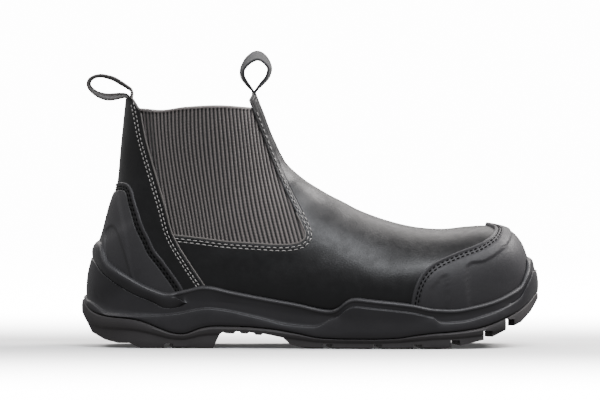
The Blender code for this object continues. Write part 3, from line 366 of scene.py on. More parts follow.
def distance_to(points, line, closed=False):
    """Distance of each point to a line of points, in the plane or in space."""
    points = np.asarray(points, float)
    line = np.asarray(line, float)
    if closed:
        line = np.concatenate([line, line[:1]])
    best = np.full(len(points), np.inf)
    for a, b in zip(line, line[1:]):
        run = b - a
        share = np.clip((points - a) @ run / max(run @ run, 1e-18), 0.0, 1.0)
        best = np.minimum(best, np.linalg.norm(points - a - share[:, None] * run, axis=1))
    return best


def inside(points, outline):
    """Whether each side view point lies within an outline."""
    points = np.asarray(points, float)
    found = np.zeros(len(points), bool)
    for a, b in zip(outline, list(outline[1:]) + [outline[0]]):
        crosses = (a[1] > points[:, 1]) != (b[1] > points[:, 1])
        rise = b[1] - a[1] if b[1] != a[1] else 1e-12
        where = a[0] + (points[:, 1] - a[1]) * (b[0] - a[0]) / rise
        found ^= crosses & (points[:, 0] < where)
    return found


def depth_inside(points, outline):
    """Distance to an outline, above zero within it."""
    gone = distance_to(points, outline, closed=True)
    return np.where(inside(points, outline), gone, -gone)


def bed(x):
    """Height of the foot bed."""
    share = x / LENGTH + 0.5
    if share < BED_BACK[-1][0]:
        return BED_BALL + (BED_HEEL - BED_BALL) * curve(BED_BACK, share)
    return BED_BALL + (BED_TOE - BED_BALL) * curve(BED_FRONT, share)


def section(place):
    """The last's section at a place counted in rows of the table, rows joined smoothly."""
    i = min(int(place), len(SECTIONS) - 2)
    part = place - i
    rows = [np.array(SECTIONS[min(max(k, 0), len(SECTIONS) - 1)]) for k in range(i - 1, i + 3)]
    mixed = hermite(rows[1], rows[2], (rows[2] - rows[0]) / 2, (rows[3] - rows[1]) / 2, 1.0, part)
    found = Section(*mixed)
    if place >= CLOSED_FROM:
        found = found._replace(edge=0.0)
    return found


def on_section(row, turn):
    """Point of a section. turn: -1 outer edge, 0 ridge, 1 inner edge."""
    top = np.array([along(row.top_x), 0.0, row.top_z * LEG_HEIGHT])
    foot_x = along(row.foot_x)
    foot = np.array([foot_x, 0.0, bed(foot_x) + GAP + row.rise * LEG_HEIGHT])
    reach = (row.ridge + row.outer if turn < 0 else row.inner - row.ridge) * BALL_WIDTH
    share = abs(turn)
    if share <= row.turn:
        angle = math.pi / 2 * (1 - share / row.turn)
        up = row.widest + (1 - row.widest) * math.sin(angle) ** (2 / row.power_up)
        out = math.cos(angle) ** (2 / row.power_up)
    else:
        last = math.acos(max(row.edge, 0.0) ** (row.power_down / 2))
        angle = last * (share - row.turn) / (1 - row.turn)
        up = row.widest * (1 - (math.sin(angle) / math.sin(last)) ** (2 / row.power_down))
        out = max(math.cos(angle), 0.0) ** (2 / row.power_down)
    side = -1.0 if turn < 0 else 1.0
    middle = np.array([0.0, row.ridge * BALL_WIDTH + MIDDLE_Y, 0.0])
    return foot + (top - foot) * up + middle + np.array([0.0, side * reach * out, 0.0])


def skin(place, turn):
    """Point of the upper's outer face before its folds."""
    return on_section(section(place), turn)


def place_at(x, turn):
    """Place in the section table where the skin reaches an X at a given turn."""
    low, high = 0.0, float(CLOSED_FROM)
    for _ in range(22):
        middle = (low + high) / 2
        if skin(middle, turn)[0] > x:
            low = middle
        else:
            high = middle
    return low


def folds(points):
    """Height of the leather's soft folds at each point, for both sides alike."""
    found = np.zeros(len(points))
    for fold in FOLDS:
        lean = math.radians(fold.lean)
        off = points[:, [0, 2]] - point((fold.x, fold.z))
        run = off @ np.array([math.cos(lean), math.sin(lean)])
        across = off @ np.array([-math.sin(lean), math.cos(lean)])
        found += fold.height * np.exp(-(run / fold.length) ** 2 - (across / fold.width) ** 2)
    return found


class Last:
    """Fine skin of the last with its folds, smooth normals, and rays that meet it."""

    def __init__(self):
        rows = ROWS_A_SECTION * (len(SECTIONS) - 1)
        self.places = [i / ROWS_A_SECTION for i in range(rows + 1)]
        self.turns = [2 * j / ROUND - 1 for j in range(ROUND + 1)]
        self.index = np.zeros((rows + 1, ROUND + 1), int)
        points = [skin(0.0, 1.0)]
        for i in range(1, rows + 1):
            row = section(self.places[i])
            for j, turn in enumerate(self.turns):
                if self.places[i] >= CLOSED_FROM and j == ROUND:
                    self.index[i][j] = self.index[i][0]
                    continue
                self.index[i][j] = len(points)
                points.append(on_section(row, turn))
        self.points = np.array(points)
        self.open_rows = [i for i in range(1, rows + 1) if self.places[i] < CLOSED_FROM]
        self.faces = self.make_faces()
        self.normals = self.make_normals()
        fade = soft_step(np.abs(self.normals[:, 1]) / RIDGE_FADE)
        self.points = self.points + self.normals * (folds(self.points) * fade)[:, None]
        self.normals = self.make_normals()
        self.tree = BVHTree.FromPolygons([tuple(p) for p in self.points.tolist()], self.faces)

    def make_faces(self):
        """Triangles of the skin, without the flat ones where it closes."""
        faces = []
        for i in range(len(self.places) - 1):
            for j in range(ROUND):
                a, b = int(self.index[i][j]), int(self.index[i][j + 1])
                c, d = int(self.index[i + 1][j + 1]), int(self.index[i + 1][j])
                faces += [(a, b, c), (a, c, d)]
        return [face for face in faces if len(set(face)) == 3]

    def make_normals(self):
        """Smooth normals, level along the edge on the foot bed."""
        corners = np.array(self.faces)
        p = self.points[corners]
        flat = np.cross(p[:, 1] - p[:, 0], p[:, 2] - p[:, 0])
        normals = np.zeros_like(self.points)
        for k in range(3):
            np.add.at(normals, corners[:, k], flat)
        edge = [0] + [int(self.index[i][j]) for i in self.open_rows for j in (0, ROUND)]
        normals[edge, 2] = 0.0
        normals = unit(normals)
        outward = np.sum(normals * (self.points - self.points.mean(axis=0)), axis=1).sum()
        return normals if outward > 0 else -normals

    def shell(self, low, high, limit=None):
        """Wall between two distances from the skin, or the part of it whose points pass limit.

        The number of its outer faces, which come first, is given too.
        """
        kept, faces = np.arange(len(self.points)), self.faces
        if limit is not None:
            good = limit(self.points)
            faces = [face for face in self.faces if good[list(face)].all()]
            kept = np.array(sorted({k for face in faces for k in face}))
            renamed = {int(k): n for n, k in enumerate(kept)}
            faces = [tuple(renamed[k] for k in face) for face in faces]
        seen = {}
        for face in faces:
            for a, b in zip(face, face[1:] + face[:1]):
                key = (min(a, b), max(a, b))
                seen[key] = None if key in seen else (a, b)
        rim = [edge for edge in seen.values() if edge]
        count = len(kept)
        outer = self.points[kept] + self.normals[kept] * high
        lining = self.points[kept] + self.normals[kept] * low
        walls = list(faces) + [tuple(k + count for k in reversed(face)) for face in faces]
        walls += [(b, a, a + count, b + count) for a, b in rim]
        return np.concatenate([outer, lining]), walls, len(faces)

    def smooth(self, spot, face):
        """Smooth normal at a spot of a face."""
        corners = self.faces[face]
        weights = poly_3d_calc([Vector(self.points[k]) for k in corners], Vector(spot))
        return unit(sum(w * self.normals[k] for w, k in zip(weights, corners)))

    def near(self, spot):
        """Nearest point of the skin and the smooth normal there."""
        hit, _, face, _ = self.tree.find_nearest(Vector(spot))
        return np.array(hit), self.smooth(hit, face)

    def beside(self, x, z, side):
        """Skin point seen from the side at (x, z), with its normal, or None."""
        hit, _, face, _ = self.tree.ray_cast(Vector((x, side * FAR, z)), Vector((0, -side, 0)))
        if hit is None:
            return None
        return np.array(hit), self.smooth(hit, face)

    def outward(self, start, direction):
        """Outermost skin point on a ray, with its normal."""
        far = Vector(start) + Vector(direction) * FAR
        hit, _, face, _ = self.tree.ray_cast(far, -Vector(direction))
        return np.array(hit), self.smooth(hit, face)


def link(name, data):
    """Object with the given mesh, light or camera, in the scene."""
    made = bpy.data.objects.new(name, data)
    bpy.context.scene.collection.objects.link(made)
    return made


def mesh_of(name, points, faces):
    """Mesh with its faces turned out."""
    mesh = bpy.data.meshes.new(name)
    mesh.from_pydata(np.asarray(points, float).tolist(), [], [tuple(map(int, f)) for f in faces])
    work = bmesh.new()
    work.from_mesh(mesh)
    bmesh.ops.recalc_face_normals(work, faces=work.faces)
    if work.calc_volume(signed=True) < 0:
        bmesh.ops.reverse_faces(work, faces=work.faces)
    work.to_mesh(mesh)
    work.free()
    return mesh


def piece(name, points, faces, finishes, slot=None, node=None, sharp=None):
    """Piece of the boot: a smooth shaded mesh that rides on the body."""
    mesh = mesh_of(name, points, faces)
    for finish in finishes:
        mesh.materials.append(finish)
    mesh.shade_smooth()
    if sharp:
        mesh.set_sharp_from_angle(angle=math.radians(sharp))
    made = link(name, mesh)
    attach(made, "root")
    if node:
        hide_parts(node)
    return made


def set_attribute(made, name, values):
    """Number for each point of a mesh, for its finish to read."""
    attribute = made.data.attributes.new(name, "FLOAT", "POINT")
    attribute.data.foreach_set("value", np.asarray(values, np.float32))


def points_of(mesh):
    """All points of a mesh as an array."""
    found = np.zeros(len(mesh.vertices) * 3)
    mesh.vertices.foreach_get("co", found)
    return found.reshape(-1, 3)


def prism(name, outline, finish_index=0):
    """Cutter with a side view outline, from one side of the boot to the other."""
    count = len(outline)
    points = [(p[0], y, p[1]) for y in (-FAR, FAR) for p in outline]
    faces = [tuple(range(count)), tuple(range(2 * count - 1, count - 1, -1))]
    faces += [(k, (k + 1) % count, (k + 1) % count + count, k + count) for k in range(count)]
    made = link(name, mesh_of(name, points, faces))
    for face in made.data.polygons:
        face.material_index = finish_index
    return made


def carve(made, cuts):
    """Cut or keep by (cutter, operation) pairs, for good."""
    for cutter, operation in cuts:
        step = made.modifiers.new(cutter.name, "BOOLEAN")
        step.operation = operation
        step.solver = "EXACT"
        step.object = cutter
    graph = bpy.context.evaluated_depsgraph_get()
    mesh = bpy.data.meshes.new_from_object(made.evaluated_get(graph))
    made.modifiers.clear()
    made.data = mesh
    for cutter, _ in cuts:
        bpy.data.objects.remove(cutter)


def follow_skin(made, last):
    """Give faces that lie along the skin its smooth normals, and leave the others flat."""
    agree = math.cos(math.radians(60.0))
    mesh = made.data
    spots = points_of(mesh)
    smooth = np.array([last.near(spot)[1] for spot in spots])
    corners = np.zeros(len(mesh.loops), int)
    mesh.loops.foreach_get("vertex_index", corners)
    flat = np.zeros(len(mesh.polygons) * 3)
    mesh.polygons.foreach_get("normal", flat)
    totals = np.zeros(len(mesh.polygons), int)
    mesh.polygons.foreach_get("loop_total", totals)
    owner = np.repeat(np.arange(len(mesh.polygons)), totals)
    flat = flat.reshape(-1, 3)[owner]
    wanted = smooth[corners]
    match = np.sum(flat * wanted, axis=1)
    chosen = np.where((match > agree)[:, None], wanted, flat)
    chosen = np.where((match < -agree)[:, None], -wanted, chosen)
    mesh.normals_split_custom_set(chosen.tolist())


def slab(points, normals, thick, relief=0.0):
    """Closed sheet on a grid of points, raised by relief and as deep as thick below the grid."""
    rows, columns = points.shape[:2]
    outer = (points + normals * np.asarray(relief)[..., None]).reshape(-1, 3)
    inner = (points - normals * thick).reshape(-1, 3)
    count = rows * columns
    faces = []
    for i in range(rows - 1):
        for j in range(columns - 1):
            a, b = i * columns + j, i * columns + j + 1
            c, d = b + columns, a + columns
            faces += [(a, b, c, d), (a + count, d + count, c + count, b + count)]
    top, bottom = range(columns), range((rows - 1) * columns, rows * columns)
    left, right = range(0, count, columns), range(columns - 1, count, columns)
    for line, back in ((top, True), (bottom, False), (left, False), (right, True)):
        line = list(line)
        for a, b in zip(line, line[1:]):
            ring = (a, a + count, b + count, b)
            faces.append(ring if back else ring[::-1])
    return np.concatenate([outer, inner]), faces


def ring_faces(count, size):
    """Faces between closed rings of points: how many rings, and the points in each."""
    faces = []
    for low in range(0, (count - 1) * size, size):
        for k in range(size):
            a, b = low + k, low + (k + 1) % size
            faces.append((a, b, b + size, a + size))
    return faces


def ring_lids(count, size):
    """Faces that close the first and the last of such rings."""
    return [tuple(range(size)), tuple(range((count - 1) * size, count * size))]


def circle(spot, across, up, radius, sides):
    """Ring of points round a spot."""
    angles = [2 * math.pi * k / sides for k in range(sides)]
    return [spot + radius * (across * math.cos(a) + up * math.sin(a)) for a in angles]


def tube(points, radius, sides=8):
    """Closed round bead along a line of points."""
    found = []
    for spot, run in zip(points, unit(np.gradient(np.array(points), axis=0))):
        across = unit(np.cross(run, [0.0, 1.0, 0.0]))
        found += circle(spot, across, np.cross(run, across), radius, sides)
    return found, ring_faces(len(points), sides) + ring_lids(len(points), sides)


def join(parts):
    """One list of points and faces from several."""
    points, faces = [], []
    for more, shapes in parts:
        start = len(points)
        points += [tuple(p) for p in more]
        faces += [tuple(k + start for k in face) for face in shapes]
    return points, faces


def stitch(start, end, normal, radius, sides=6):
    """One stitch: a short thread that dips at both ends."""
    run = end - start
    across = unit(np.cross(normal, run))
    found = []
    for share, lift, thick in STITCH_SHAPE:
        spot = start + run * share + normal * radius * lift
        found += circle(spot, across, normal, radius * thick, sides)
    return found, ring_faces(len(STITCH_SHAPE), sides) + ring_lids(len(STITCH_SHAPE), sides)


def seam(spots, normals, thread, shift=0.0):
    """Row of stitches along a line of points with their normals."""
    count = max(1, int((length_of(spots) - shift) / thread.pitch))
    both = np.concatenate([np.array(spots), np.array(normals)], axis=1)
    run = run_of(spots)
    parts = []
    for k in range(count):
        at = shift + k * thread.pitch
        ends = [np.array([np.interp(p, run, both[:, c]) for c in range(6)])
                for p in (at, at + thread.length)]
        normal = unit(ends[0][3:] + ends[1][3:])
        parts.append(stitch(ends[0][:3], ends[1][:3], normal, thread.radius))
    return parts


def shifted(line, distance):
    """Side view line moved to its left by a distance."""
    line = np.array(line)
    run = unit(np.gradient(line, axis=0))
    return line + np.stack([-run[:, 1], run[:, 0]], axis=1) * distance


def on_side(last, line, side, lift=0.0):
    """Skin points and normals under a side view line."""
    hits = [last.beside(p[0], p[1], side) for p in line]
    hits = [hit for hit in hits if hit is not None]
    normals = np.array([hit[1] for hit in hits])
    return np.array([hit[0] for hit in hits]) + normals * lift, normals


class Finish:
    """Principled material with noise in its colour and gloss, and fine bumps."""

    def __init__(self, name, colour, roughness, coat=0.0, sheen=0.0):
        self.made = bpy.data.materials.new(name)
        self.made.use_nodes = True
        self.tree = self.made.node_tree
        self.shader = self.tree.nodes["Principled BSDF"]
        self.shader.inputs["Base Color"].default_value = (*colour, 1.0)
        self.shader.inputs["Roughness"].default_value = roughness
        self.shader.inputs["Metallic"].default_value = 0.0
        self.shader.inputs["Coat Weight"].default_value = coat
        self.shader.inputs["Coat Roughness"].default_value = 0.28
        self.shader.inputs["Sheen Weight"].default_value = sheen
        self.place = self.node("ShaderNodeTexCoord").outputs["Object"]
        self.last_bump = None

    def node(self, kind, **values):
        """Shader node with the given properties or input values."""
        made = self.tree.nodes.new(kind)
        for name, value in values.items():
            if hasattr(made, name):
                setattr(made, name, value)
            else:
                made.inputs[name.replace("_", " ")].default_value = value
        return made

    def noise(self, scale, detail=2.0):
        """Noise fixed to the piece."""
        made = self.node("ShaderNodeTexNoise", Scale=scale, Detail=detail)
        self.tree.links.new(self.place, made.inputs["Vector"])
        return made.outputs["Fac"]

    def attribute(self, name):
        """Number that the mesh holds for each point."""
        return self.node("ShaderNodeAttribute", attribute_name=name).outputs["Fac"]

    def ramp(self, value, stops):
        """Grey or coloured ramp of a value."""
        made = self.node("ShaderNodeValToRGB")
        ramp = made.color_ramp
        ramp.interpolation = "EASE"
        while len(ramp.elements) < len(stops):
            ramp.elements.new(0.5)
        for element, (place, colour) in zip(ramp.elements, stops):
            element.position = place
            element.color = (*colour, 1.0) if hasattr(colour, "__len__") else (colour,) * 3 + (1.0,)
        self.tree.links.new(value, made.inputs["Fac"])
        return made.outputs["Color"]

    def maths(self, operation, first, second=None):
        """Result of a sum on values or numbers."""
        made = self.node("ShaderNodeMath", operation=operation)
        for slot, value in zip(made.inputs, (first, second)):
            if value is None:
                continue
            if isinstance(value, (int, float)):
                slot.default_value = value
            else:
                self.tree.links.new(value, slot)
        return made.outputs["Value"]

    def bump(self, height, depth):
        """Relief of the given depth in metres, on top of what is there."""
        made = self.node("ShaderNodeBump", Strength=1.0, Distance=depth)
        self.tree.links.new(height, made.inputs["Height"])
        if self.last_bump is not None:
            self.tree.links.new(self.last_bump, made.inputs["Normal"])
        self.last_bump = made.outputs["Normal"]
        self.tree.links.new(self.last_bump, self.shader.inputs["Normal"])

    def mottle(self, scale, dark, light):
        """Colour that drifts between two tones."""
        colour = self.ramp(self.noise(scale), [(0.3, dark), (0.7, light)])
        self.tree.links.new(colour, self.shader.inputs["Base Color"])

    def uneven_gloss(self, scale, low, high):
        """Roughness that drifts between two values."""
        gloss = self.ramp(self.noise(scale), [(0.3, low), (0.7, high)])
        self.tree.links.new(gloss, self.shader.inputs["Roughness"])


def leather_finish():
    """Smooth full grain leather, black, with a soft gloss and troughs along its seams."""
    made = Finish("leather", (0.0045, 0.0045, 0.0050), 0.40, coat=0.08)
    made.shader.inputs["Specular IOR Level"].default_value = 0.30
    made.mottle(60.0, (0.0038, 0.0038, 0.0044), (0.0051, 0.0050, 0.0057))
    made.uneven_gloss(220.0, 0.37, 0.46)
    made.bump(made.noise(55.0, 1.0), 0.0006)
    made.bump(made.noise(900.0, 3.0), 0.00008)
    made.bump(made.noise(2600.0, 2.0), 0.00004)
    trough = made.ramp(made.attribute("seam"), [
        (0.0, 0.0), (0.10, 0.9), (0.17, 1.0), (0.24, 0.35), (0.31, 0.9), (0.41, 0.9), (0.47, 0.4),
        (0.55, 1.0)])
    made.bump(trough, 0.0006)
    return made.made


def lining_finish():
    """Textile lining of the shaft."""
    made = Finish("lining", (0.030, 0.030, 0.032), 0.9, sheen=0.3)
    made.bump(made.noise(1500.0, 3.0), 0.0003)
    return made.made


def raw_edge_finish():
    """Cut edge of the leather, grey taupe."""
    made = Finish("raw_edge", (0.115, 0.105, 0.100), 0.7)
    made.bump(made.noise(1800.0, 2.0), 0.0002)
    return made.made


def elastic_finish():
    """Ribbed elastic: taupe ribs, black gaps crossed by fine threads, a plain hem on top."""
    made = Finish("gore_elastic", (0.20, 0.185, 0.175), 0.85, sheen=0.25)
    run = made.maths("MULTIPLY", made.attribute("run"), 2 * math.pi / 0.0010)
    knots = made.maths("MULTIPLY", made.maths("SINE", run), 0.10)
    rib = made.maths("ADD", made.attribute("rib"), knots)
    rib = made.maths("MAXIMUM", rib, made.attribute("hem"))
    fuzz = made.maths("MULTIPLY", made.noise(2600.0, 2.0), 0.25)
    rib = made.maths("ADD", rib, made.maths("SUBTRACT", fuzz, 0.125))
    colour = made.ramp(rib, [(0.20, (0.003, 0.003, 0.003)), (0.50, (0.022, 0.019, 0.018)),
                             (0.74, (0.105, 0.090, 0.087)), (1.0, (0.165, 0.145, 0.140))])
    made.tree.links.new(colour, made.shader.inputs["Base Color"])
    made.bump(made.maths("SINE", run), 0.00012)
    made.bump(made.noise(2400.0, 3.0), 0.00025)
    return made.made


def moulded_finish():
    """Matt moulded overlay of cap and counter."""
    made = Finish("overlay_rubber", (0.0290, 0.0280, 0.0305), 0.48)
    made.shader.inputs["Specular IOR Level"].default_value = 0.30
    made.mottle(45.0, (0.0275, 0.0266, 0.0290), (0.0305, 0.0295, 0.0320))
    made.uneven_gloss(260.0, 0.46, 0.55)
    made.bump(made.noise(1700.0, 3.0), 0.00010)
    made.bump(made.noise(40.0, 1.0), 0.0004)
    return made.made


def midsole_finish():
    """Satin moulded midsole."""
    made = Finish("midsole_foam", (0.0215, 0.0207, 0.0230), 0.42)
    made.shader.inputs["Specular IOR Level"].default_value = 0.34
    made.mottle(50.0, (0.0200, 0.0193, 0.0215), (0.0230, 0.0221, 0.0245))
    made.uneven_gloss(300.0, 0.38, 0.47)
    made.bump(made.noise(2100.0, 3.0), 0.00010)
    return made.made


def outsole_finish():
    """Matt rubber of the tread, a little brown."""
    made = Finish("outsole_rubber", (0.0340, 0.0315, 0.0325), 0.52)
    made.shader.inputs["Specular IOR Level"].default_value = 0.30
    made.mottle(60.0, (0.0320, 0.0296, 0.0306), (0.0360, 0.0334, 0.0344))
    made.uneven_gloss(300.0, 0.55, 0.68)
    made.bump(made.noise(1500.0, 3.0), 0.00014)
    return made.made


def insole_finish():
    """Woven cover of the insock."""
    made = Finish("insole_fabric", (0.050, 0.050, 0.052), 0.92, sheen=0.3)
    made.mottle(900.0, (0.035, 0.035, 0.037), (0.065, 0.065, 0.068))
    made.bump(made.noise(1600.0, 3.0), 0.0004)
    return made.made


def tape_finish(name, dark, light):
    """Woven tape, with its threads across its run."""
    made = Finish(name, light, 0.85, sheen=0.2)
    run = made.maths("MULTIPLY", made.attribute("run"), 2 * math.pi / 0.0009)
    across = made.maths("MULTIPLY", made.attribute("across"), 2 * math.pi / 0.0011)
    weave = made.maths("MULTIPLY", made.maths("SINE", run), made.maths("SINE", across))
    shade = made.maths("ADD", made.maths("MULTIPLY", weave, 0.3), made.noise(1900.0, 2.0))
    colour = made.ramp(shade, [(0.25, dark), (0.8, light)])
    made.tree.links.new(colour, made.shader.inputs["Base Color"])
    made.bump(weave, 0.00022)
    return made.made


def thread_finish(name, colour, gloss=0.4):
    """Twisted sewing thread."""
    made = Finish(name, colour, 0.6, sheen=gloss / 2)
    made.shader.inputs["Specular IOR Level"].default_value = gloss
    made.bump(made.noise(3800.0, 2.0), 0.00015)
    return made.made


def smooth_line(rows, steps=6):
    """Smooth side view line through pairs of shares."""
    return rounded([point(row) for row in rows], steps)


def window_foot():
    """Lower edge of the side window, from the back strip round the front corner."""
    return smooth_line([GORE_REAR[-1]] + GORE_LOW + GORE_CORNER + [GORE_FRONT[0]])


def window_outline():
    """Both side windows and everything over the collar, as one side view outline."""
    rear, low, front = smooth_line(GORE_REAR), window_foot(), smooth_line(GORE_FRONT)
    back_ear, front_ear = smooth_line(REAR_EAR[::-1], 3), smooth_line(FRONT_EAR, 3)
    sky = [np.array([front_ear[-1][0], FAR]), np.array([back_ear[0][0], FAR])]
    return back_ear + rear[:-1] + low[:-1] + front + front_ear + sky


def mark_seam(made, edge):
    """Distance of each point of a piece from a side view line, for the troughs beside it."""
    set_attribute(made, "seam", distance_to(points_of(made.data)[:, [0, 2]], edge) / SEAM_REACH)


def build_upper(last, finishes):
    """Leather wall with its windows, collar and folds."""
    points, faces, outer = last.shell(-LEATHER, 0.0)
    made = piece("upper_leather", points, faces, finishes, "leather", "upper")
    for face in made.data.polygons[outer:2 * outer]:
        face.material_index = 1
    outline = window_outline()
    carve(made, [(prism("window_cut", outline, finish_index=2), "DIFFERENCE")])
    follow_skin(made, last)
    mark_seam(made, outline[:-2])
    return made


def rib_line(number):
    """Side view line of a place counted in ribs, from the bottom to the top, past the window."""
    top = curve([(rib.number, rib.top) for rib in RIBS], number)
    bottom = curve([(rib.number, rib.bottom) for rib in RIBS], number)
    line = []
    for down in np.linspace(1.0, 0.0, 240):
        wave = 0.0007 * math.sin(0.24 * number + 2.0) * math.sin(6.0 * down)
        share = top + (bottom - top) * down ** RIB_BEND
        line.append(point((share, RIB_ENDS[0] + (RIB_ENDS[1] - RIB_ENDS[0]) * down))
                    + np.array([wave, 0.0]))
    return np.array(line)


def gore_top(x):
    """Height of the elastic's upper edge at an X."""
    return curve([tuple(point(row)) for row in GORE_TOP], x)


def gore_columns():
    """Side view lines up the elastic with their numbers in ribs, tucked under the leather."""
    window = [p for p in window_outline() if p[1] < ABOVE_BOOT]
    found = []
    for c in range(int(RIBS[0].number * RIB_COLUMNS), int(RIBS[-1].number * RIB_COLUMNS) + 1):
        line = rib_line(c / RIB_COLUMNS)
        good = inside(line, window) | (distance_to(line, np.array(window)) < GORE_TUCK)
        good &= np.array([p[1] < gore_top(p[0]) for p in line])
        if good.sum() < 4:
            continue
        kept = np.flatnonzero(good)
        line = line[kept[0]:kept[-1] + 1]
        reach = gore_top(line[-1][0])
        if reach - line[-1][1] < GORE_STRETCH:
            line[-1][1] = reach
        found.append((c / RIB_COLUMNS, line))
    return found


def build_gore(last, name, side, finish):
    """Elastic with real ribs and a plain hem."""
    places = np.concatenate([np.linspace(0.0, 0.96, 64), np.linspace(0.965, 1.0, 8)])
    grid, normals, ribs, hems, runs = [], [], [], [], []
    for number, line in gore_columns():
        picks = spaced(line, 200)
        picks = np.stack([np.interp(places * 199, np.arange(200), picks[:, k]) for k in range(2)], axis=1)
        hits = [last.beside(p[0], p[1], side) for p in picks]
        grid.append([hit[0] for hit in hits])
        normals.append([hit[1] for hit in hits])
        below = np.array([gore_top(p[0]) - p[1] for p in picks])
        rib = 0.5 - 0.5 * math.cos(2 * math.pi * (number + 0.25))
        ribs.append([rib ** 0.6] * len(picks))
        hems.append(soft_step((HEM * 1.15 - below) / (HEM * 0.3)) * (below < 2 * HEM))
        runs.append(picks[:, 1] - picks[0][1])
    grid, normals = np.array(grid), np.array(normals)
    ribs, hems = np.array(ribs), np.array(hems)
    below = np.array([[gore_top(p[0]) - p[2] for p in row] for row in grid])
    swell = np.where(hems > 0, 0.0003 - 0.0009 * np.clip(1 - below / 0.0005, 0, 1) ** 2, 0.0)
    relief = RIB_HEIGHT * np.maximum(ribs, hems * 0.9) + swell - GORE_SINK
    points, faces = slab(grid, normals, GORE_THICK + GORE_SINK, relief)
    made = piece(name + "_ribbed", points, faces, [finish], "gore_elastic", name)
    for kind, values in (("rib", ribs), ("hem", hems), ("run", np.array(runs))):
        set_attribute(made, kind, np.concatenate([values.ravel(), values.ravel()]))
    return made


def strip_outline():
    """Everything behind the back strip's front edge."""
    edge = smooth_line(STRIP_FRONT)
    return edge + [np.array([-FAR, edge[-1][1]]), np.array([-FAR, edge[0][1]])]


def build_strip(last, finishes):
    """Back strip round the heel, from ear to sole."""
    behind = along(0.32)
    points, faces, _ = last.shell(GAP, GAP + STRIP_THICK, lambda p: p[:, 0] < behind)
    made = piece("rear_quarter_leather", points, faces, finishes, "leather", "rear_quarter")
    outline = strip_outline()
    carve(made, [(prism("strip_form", outline, finish_index=1), "INTERSECT"),
                 (prism("window_cut", window_outline(), finish_index=1), "DIFFERENCE")])
    follow_skin(made, last)
    mark_seam(made, outline[:-2])
    return made


def emboss(points, outlines):
    """Height of low relief at each point. outlines: (outline, height, width of its edge)."""
    side_view = points[:, [0, 2]]
    found = np.zeros(len(points))
    for outline, height, width in outlines:
        line = smooth_line(outline, 3)
        found += height * soft_step(depth_inside(side_view, line) / width + 0.5)
    return found


def overlay_profile(gone, thick, rim, groove):
    """Height over the skin at a distance from an overlay's edge: rolled rim, then a stitch groove."""
    nose = thick * np.sqrt(np.clip(1 - (1 - np.clip(gone / 0.0012, 0, 1)) ** 2, 0, 1))
    swell = 0.0005 * np.sin(math.pi * np.clip(gone / rim, 0, 1))
    sunk = soft_step((gone - rim) / 0.0005) * (1 - soft_step((gone - groove) / 0.0006))
    return nose + swell - 0.0004 * sunk


def finish_patch(name, grid, normals, heights, finish, node):
    """Closed overlay from a grid on the skin."""
    points, faces = slab(grid, normals, 0.0010, heights)
    return piece(name, points, faces, [finish], "overlay_rubber", node)


def build_cap(last, finish):
    """Moulded toe cap with rolled rim, stitch groove and shallow panels."""
    near_rows = np.linspace(0.0, RIM_REACH, 26)
    grid = []
    for c in range(CAP_COLUMNS + 1):
        turn = 2 * c / CAP_COLUMNS - 1
        start = place_at(along(curve(CAP_EDGE, abs(turn))), turn)
        path = np.array([skin(start * (1 - t) + 0.02 * t, turn) for t in np.linspace(0, 1, 60)])
        run = run_of(path)
        wanted = np.concatenate([near_rows, np.linspace(RIM_REACH, run[-1], 70)[1:]])
        grid.append(np.stack([np.interp(wanted, run, path[:, k]) for k in range(3)], axis=1))
    grid = np.array(grid)
    flat = grid.reshape(-1, 3)
    found = [last.near(p) for p in flat]
    spots = np.array([f[0] for f in found]).reshape(grid.shape)
    normals = np.array([f[1] for f in found]).reshape(grid.shape)
    gone = distance_to(flat, grid[:, 0])
    heights = overlay_profile(gone, CAP_THICK, 0.0022, 0.0056)
    heights += emboss(flat, [(CAP_FRONT_PANEL, -0.0010, 0.0016), (CAP_FAN_PANEL, -0.0006, 0.0010)])
    heights = heights.reshape(grid.shape[:2])
    finish_patch("toe_cap_moulded", spots, normals, heights, finish, "toe_cap")
    return spots, normals, heights


def round_heel(last, profile, count, reach, first, ease):
    """Skin points round the heel on a side profile, from the outer side to the inner.

    count: points on each side. reach: degrees to each side of straight back. first: height to
    start from. ease: share of the way to the profile that each try takes.
    """
    axis_x, lowest = along(0.262), BED_HEEL + 0.001
    found = []
    for k in range(2 * count + 1):
        angle = math.radians(reach * (k / count - 1))
        way = np.array([-math.cos(angle), math.sin(angle), 0.0])
        height = first * LEG_HEIGHT
        for _ in range(24):
            spot = last.outward((axis_x, MIDDLE_Y, height), way)[0]
            height = max(height + (profile(spot[0]) - height) * ease, lowest)
        found.append(last.outward((axis_x, MIDDLE_Y, height), way)[0])
    return found


def counter_top(x):
    """Height of the counter's edge at an X."""
    return curve(COUNTER_EDGE, x / LENGTH + 0.5) * LEG_HEIGHT


def counter_foot(x):
    """Height under the sole's rim where the counter ends."""
    return curve(RIM_LINE, x / LENGTH + 0.5) * LEG_HEIGHT - 0.005


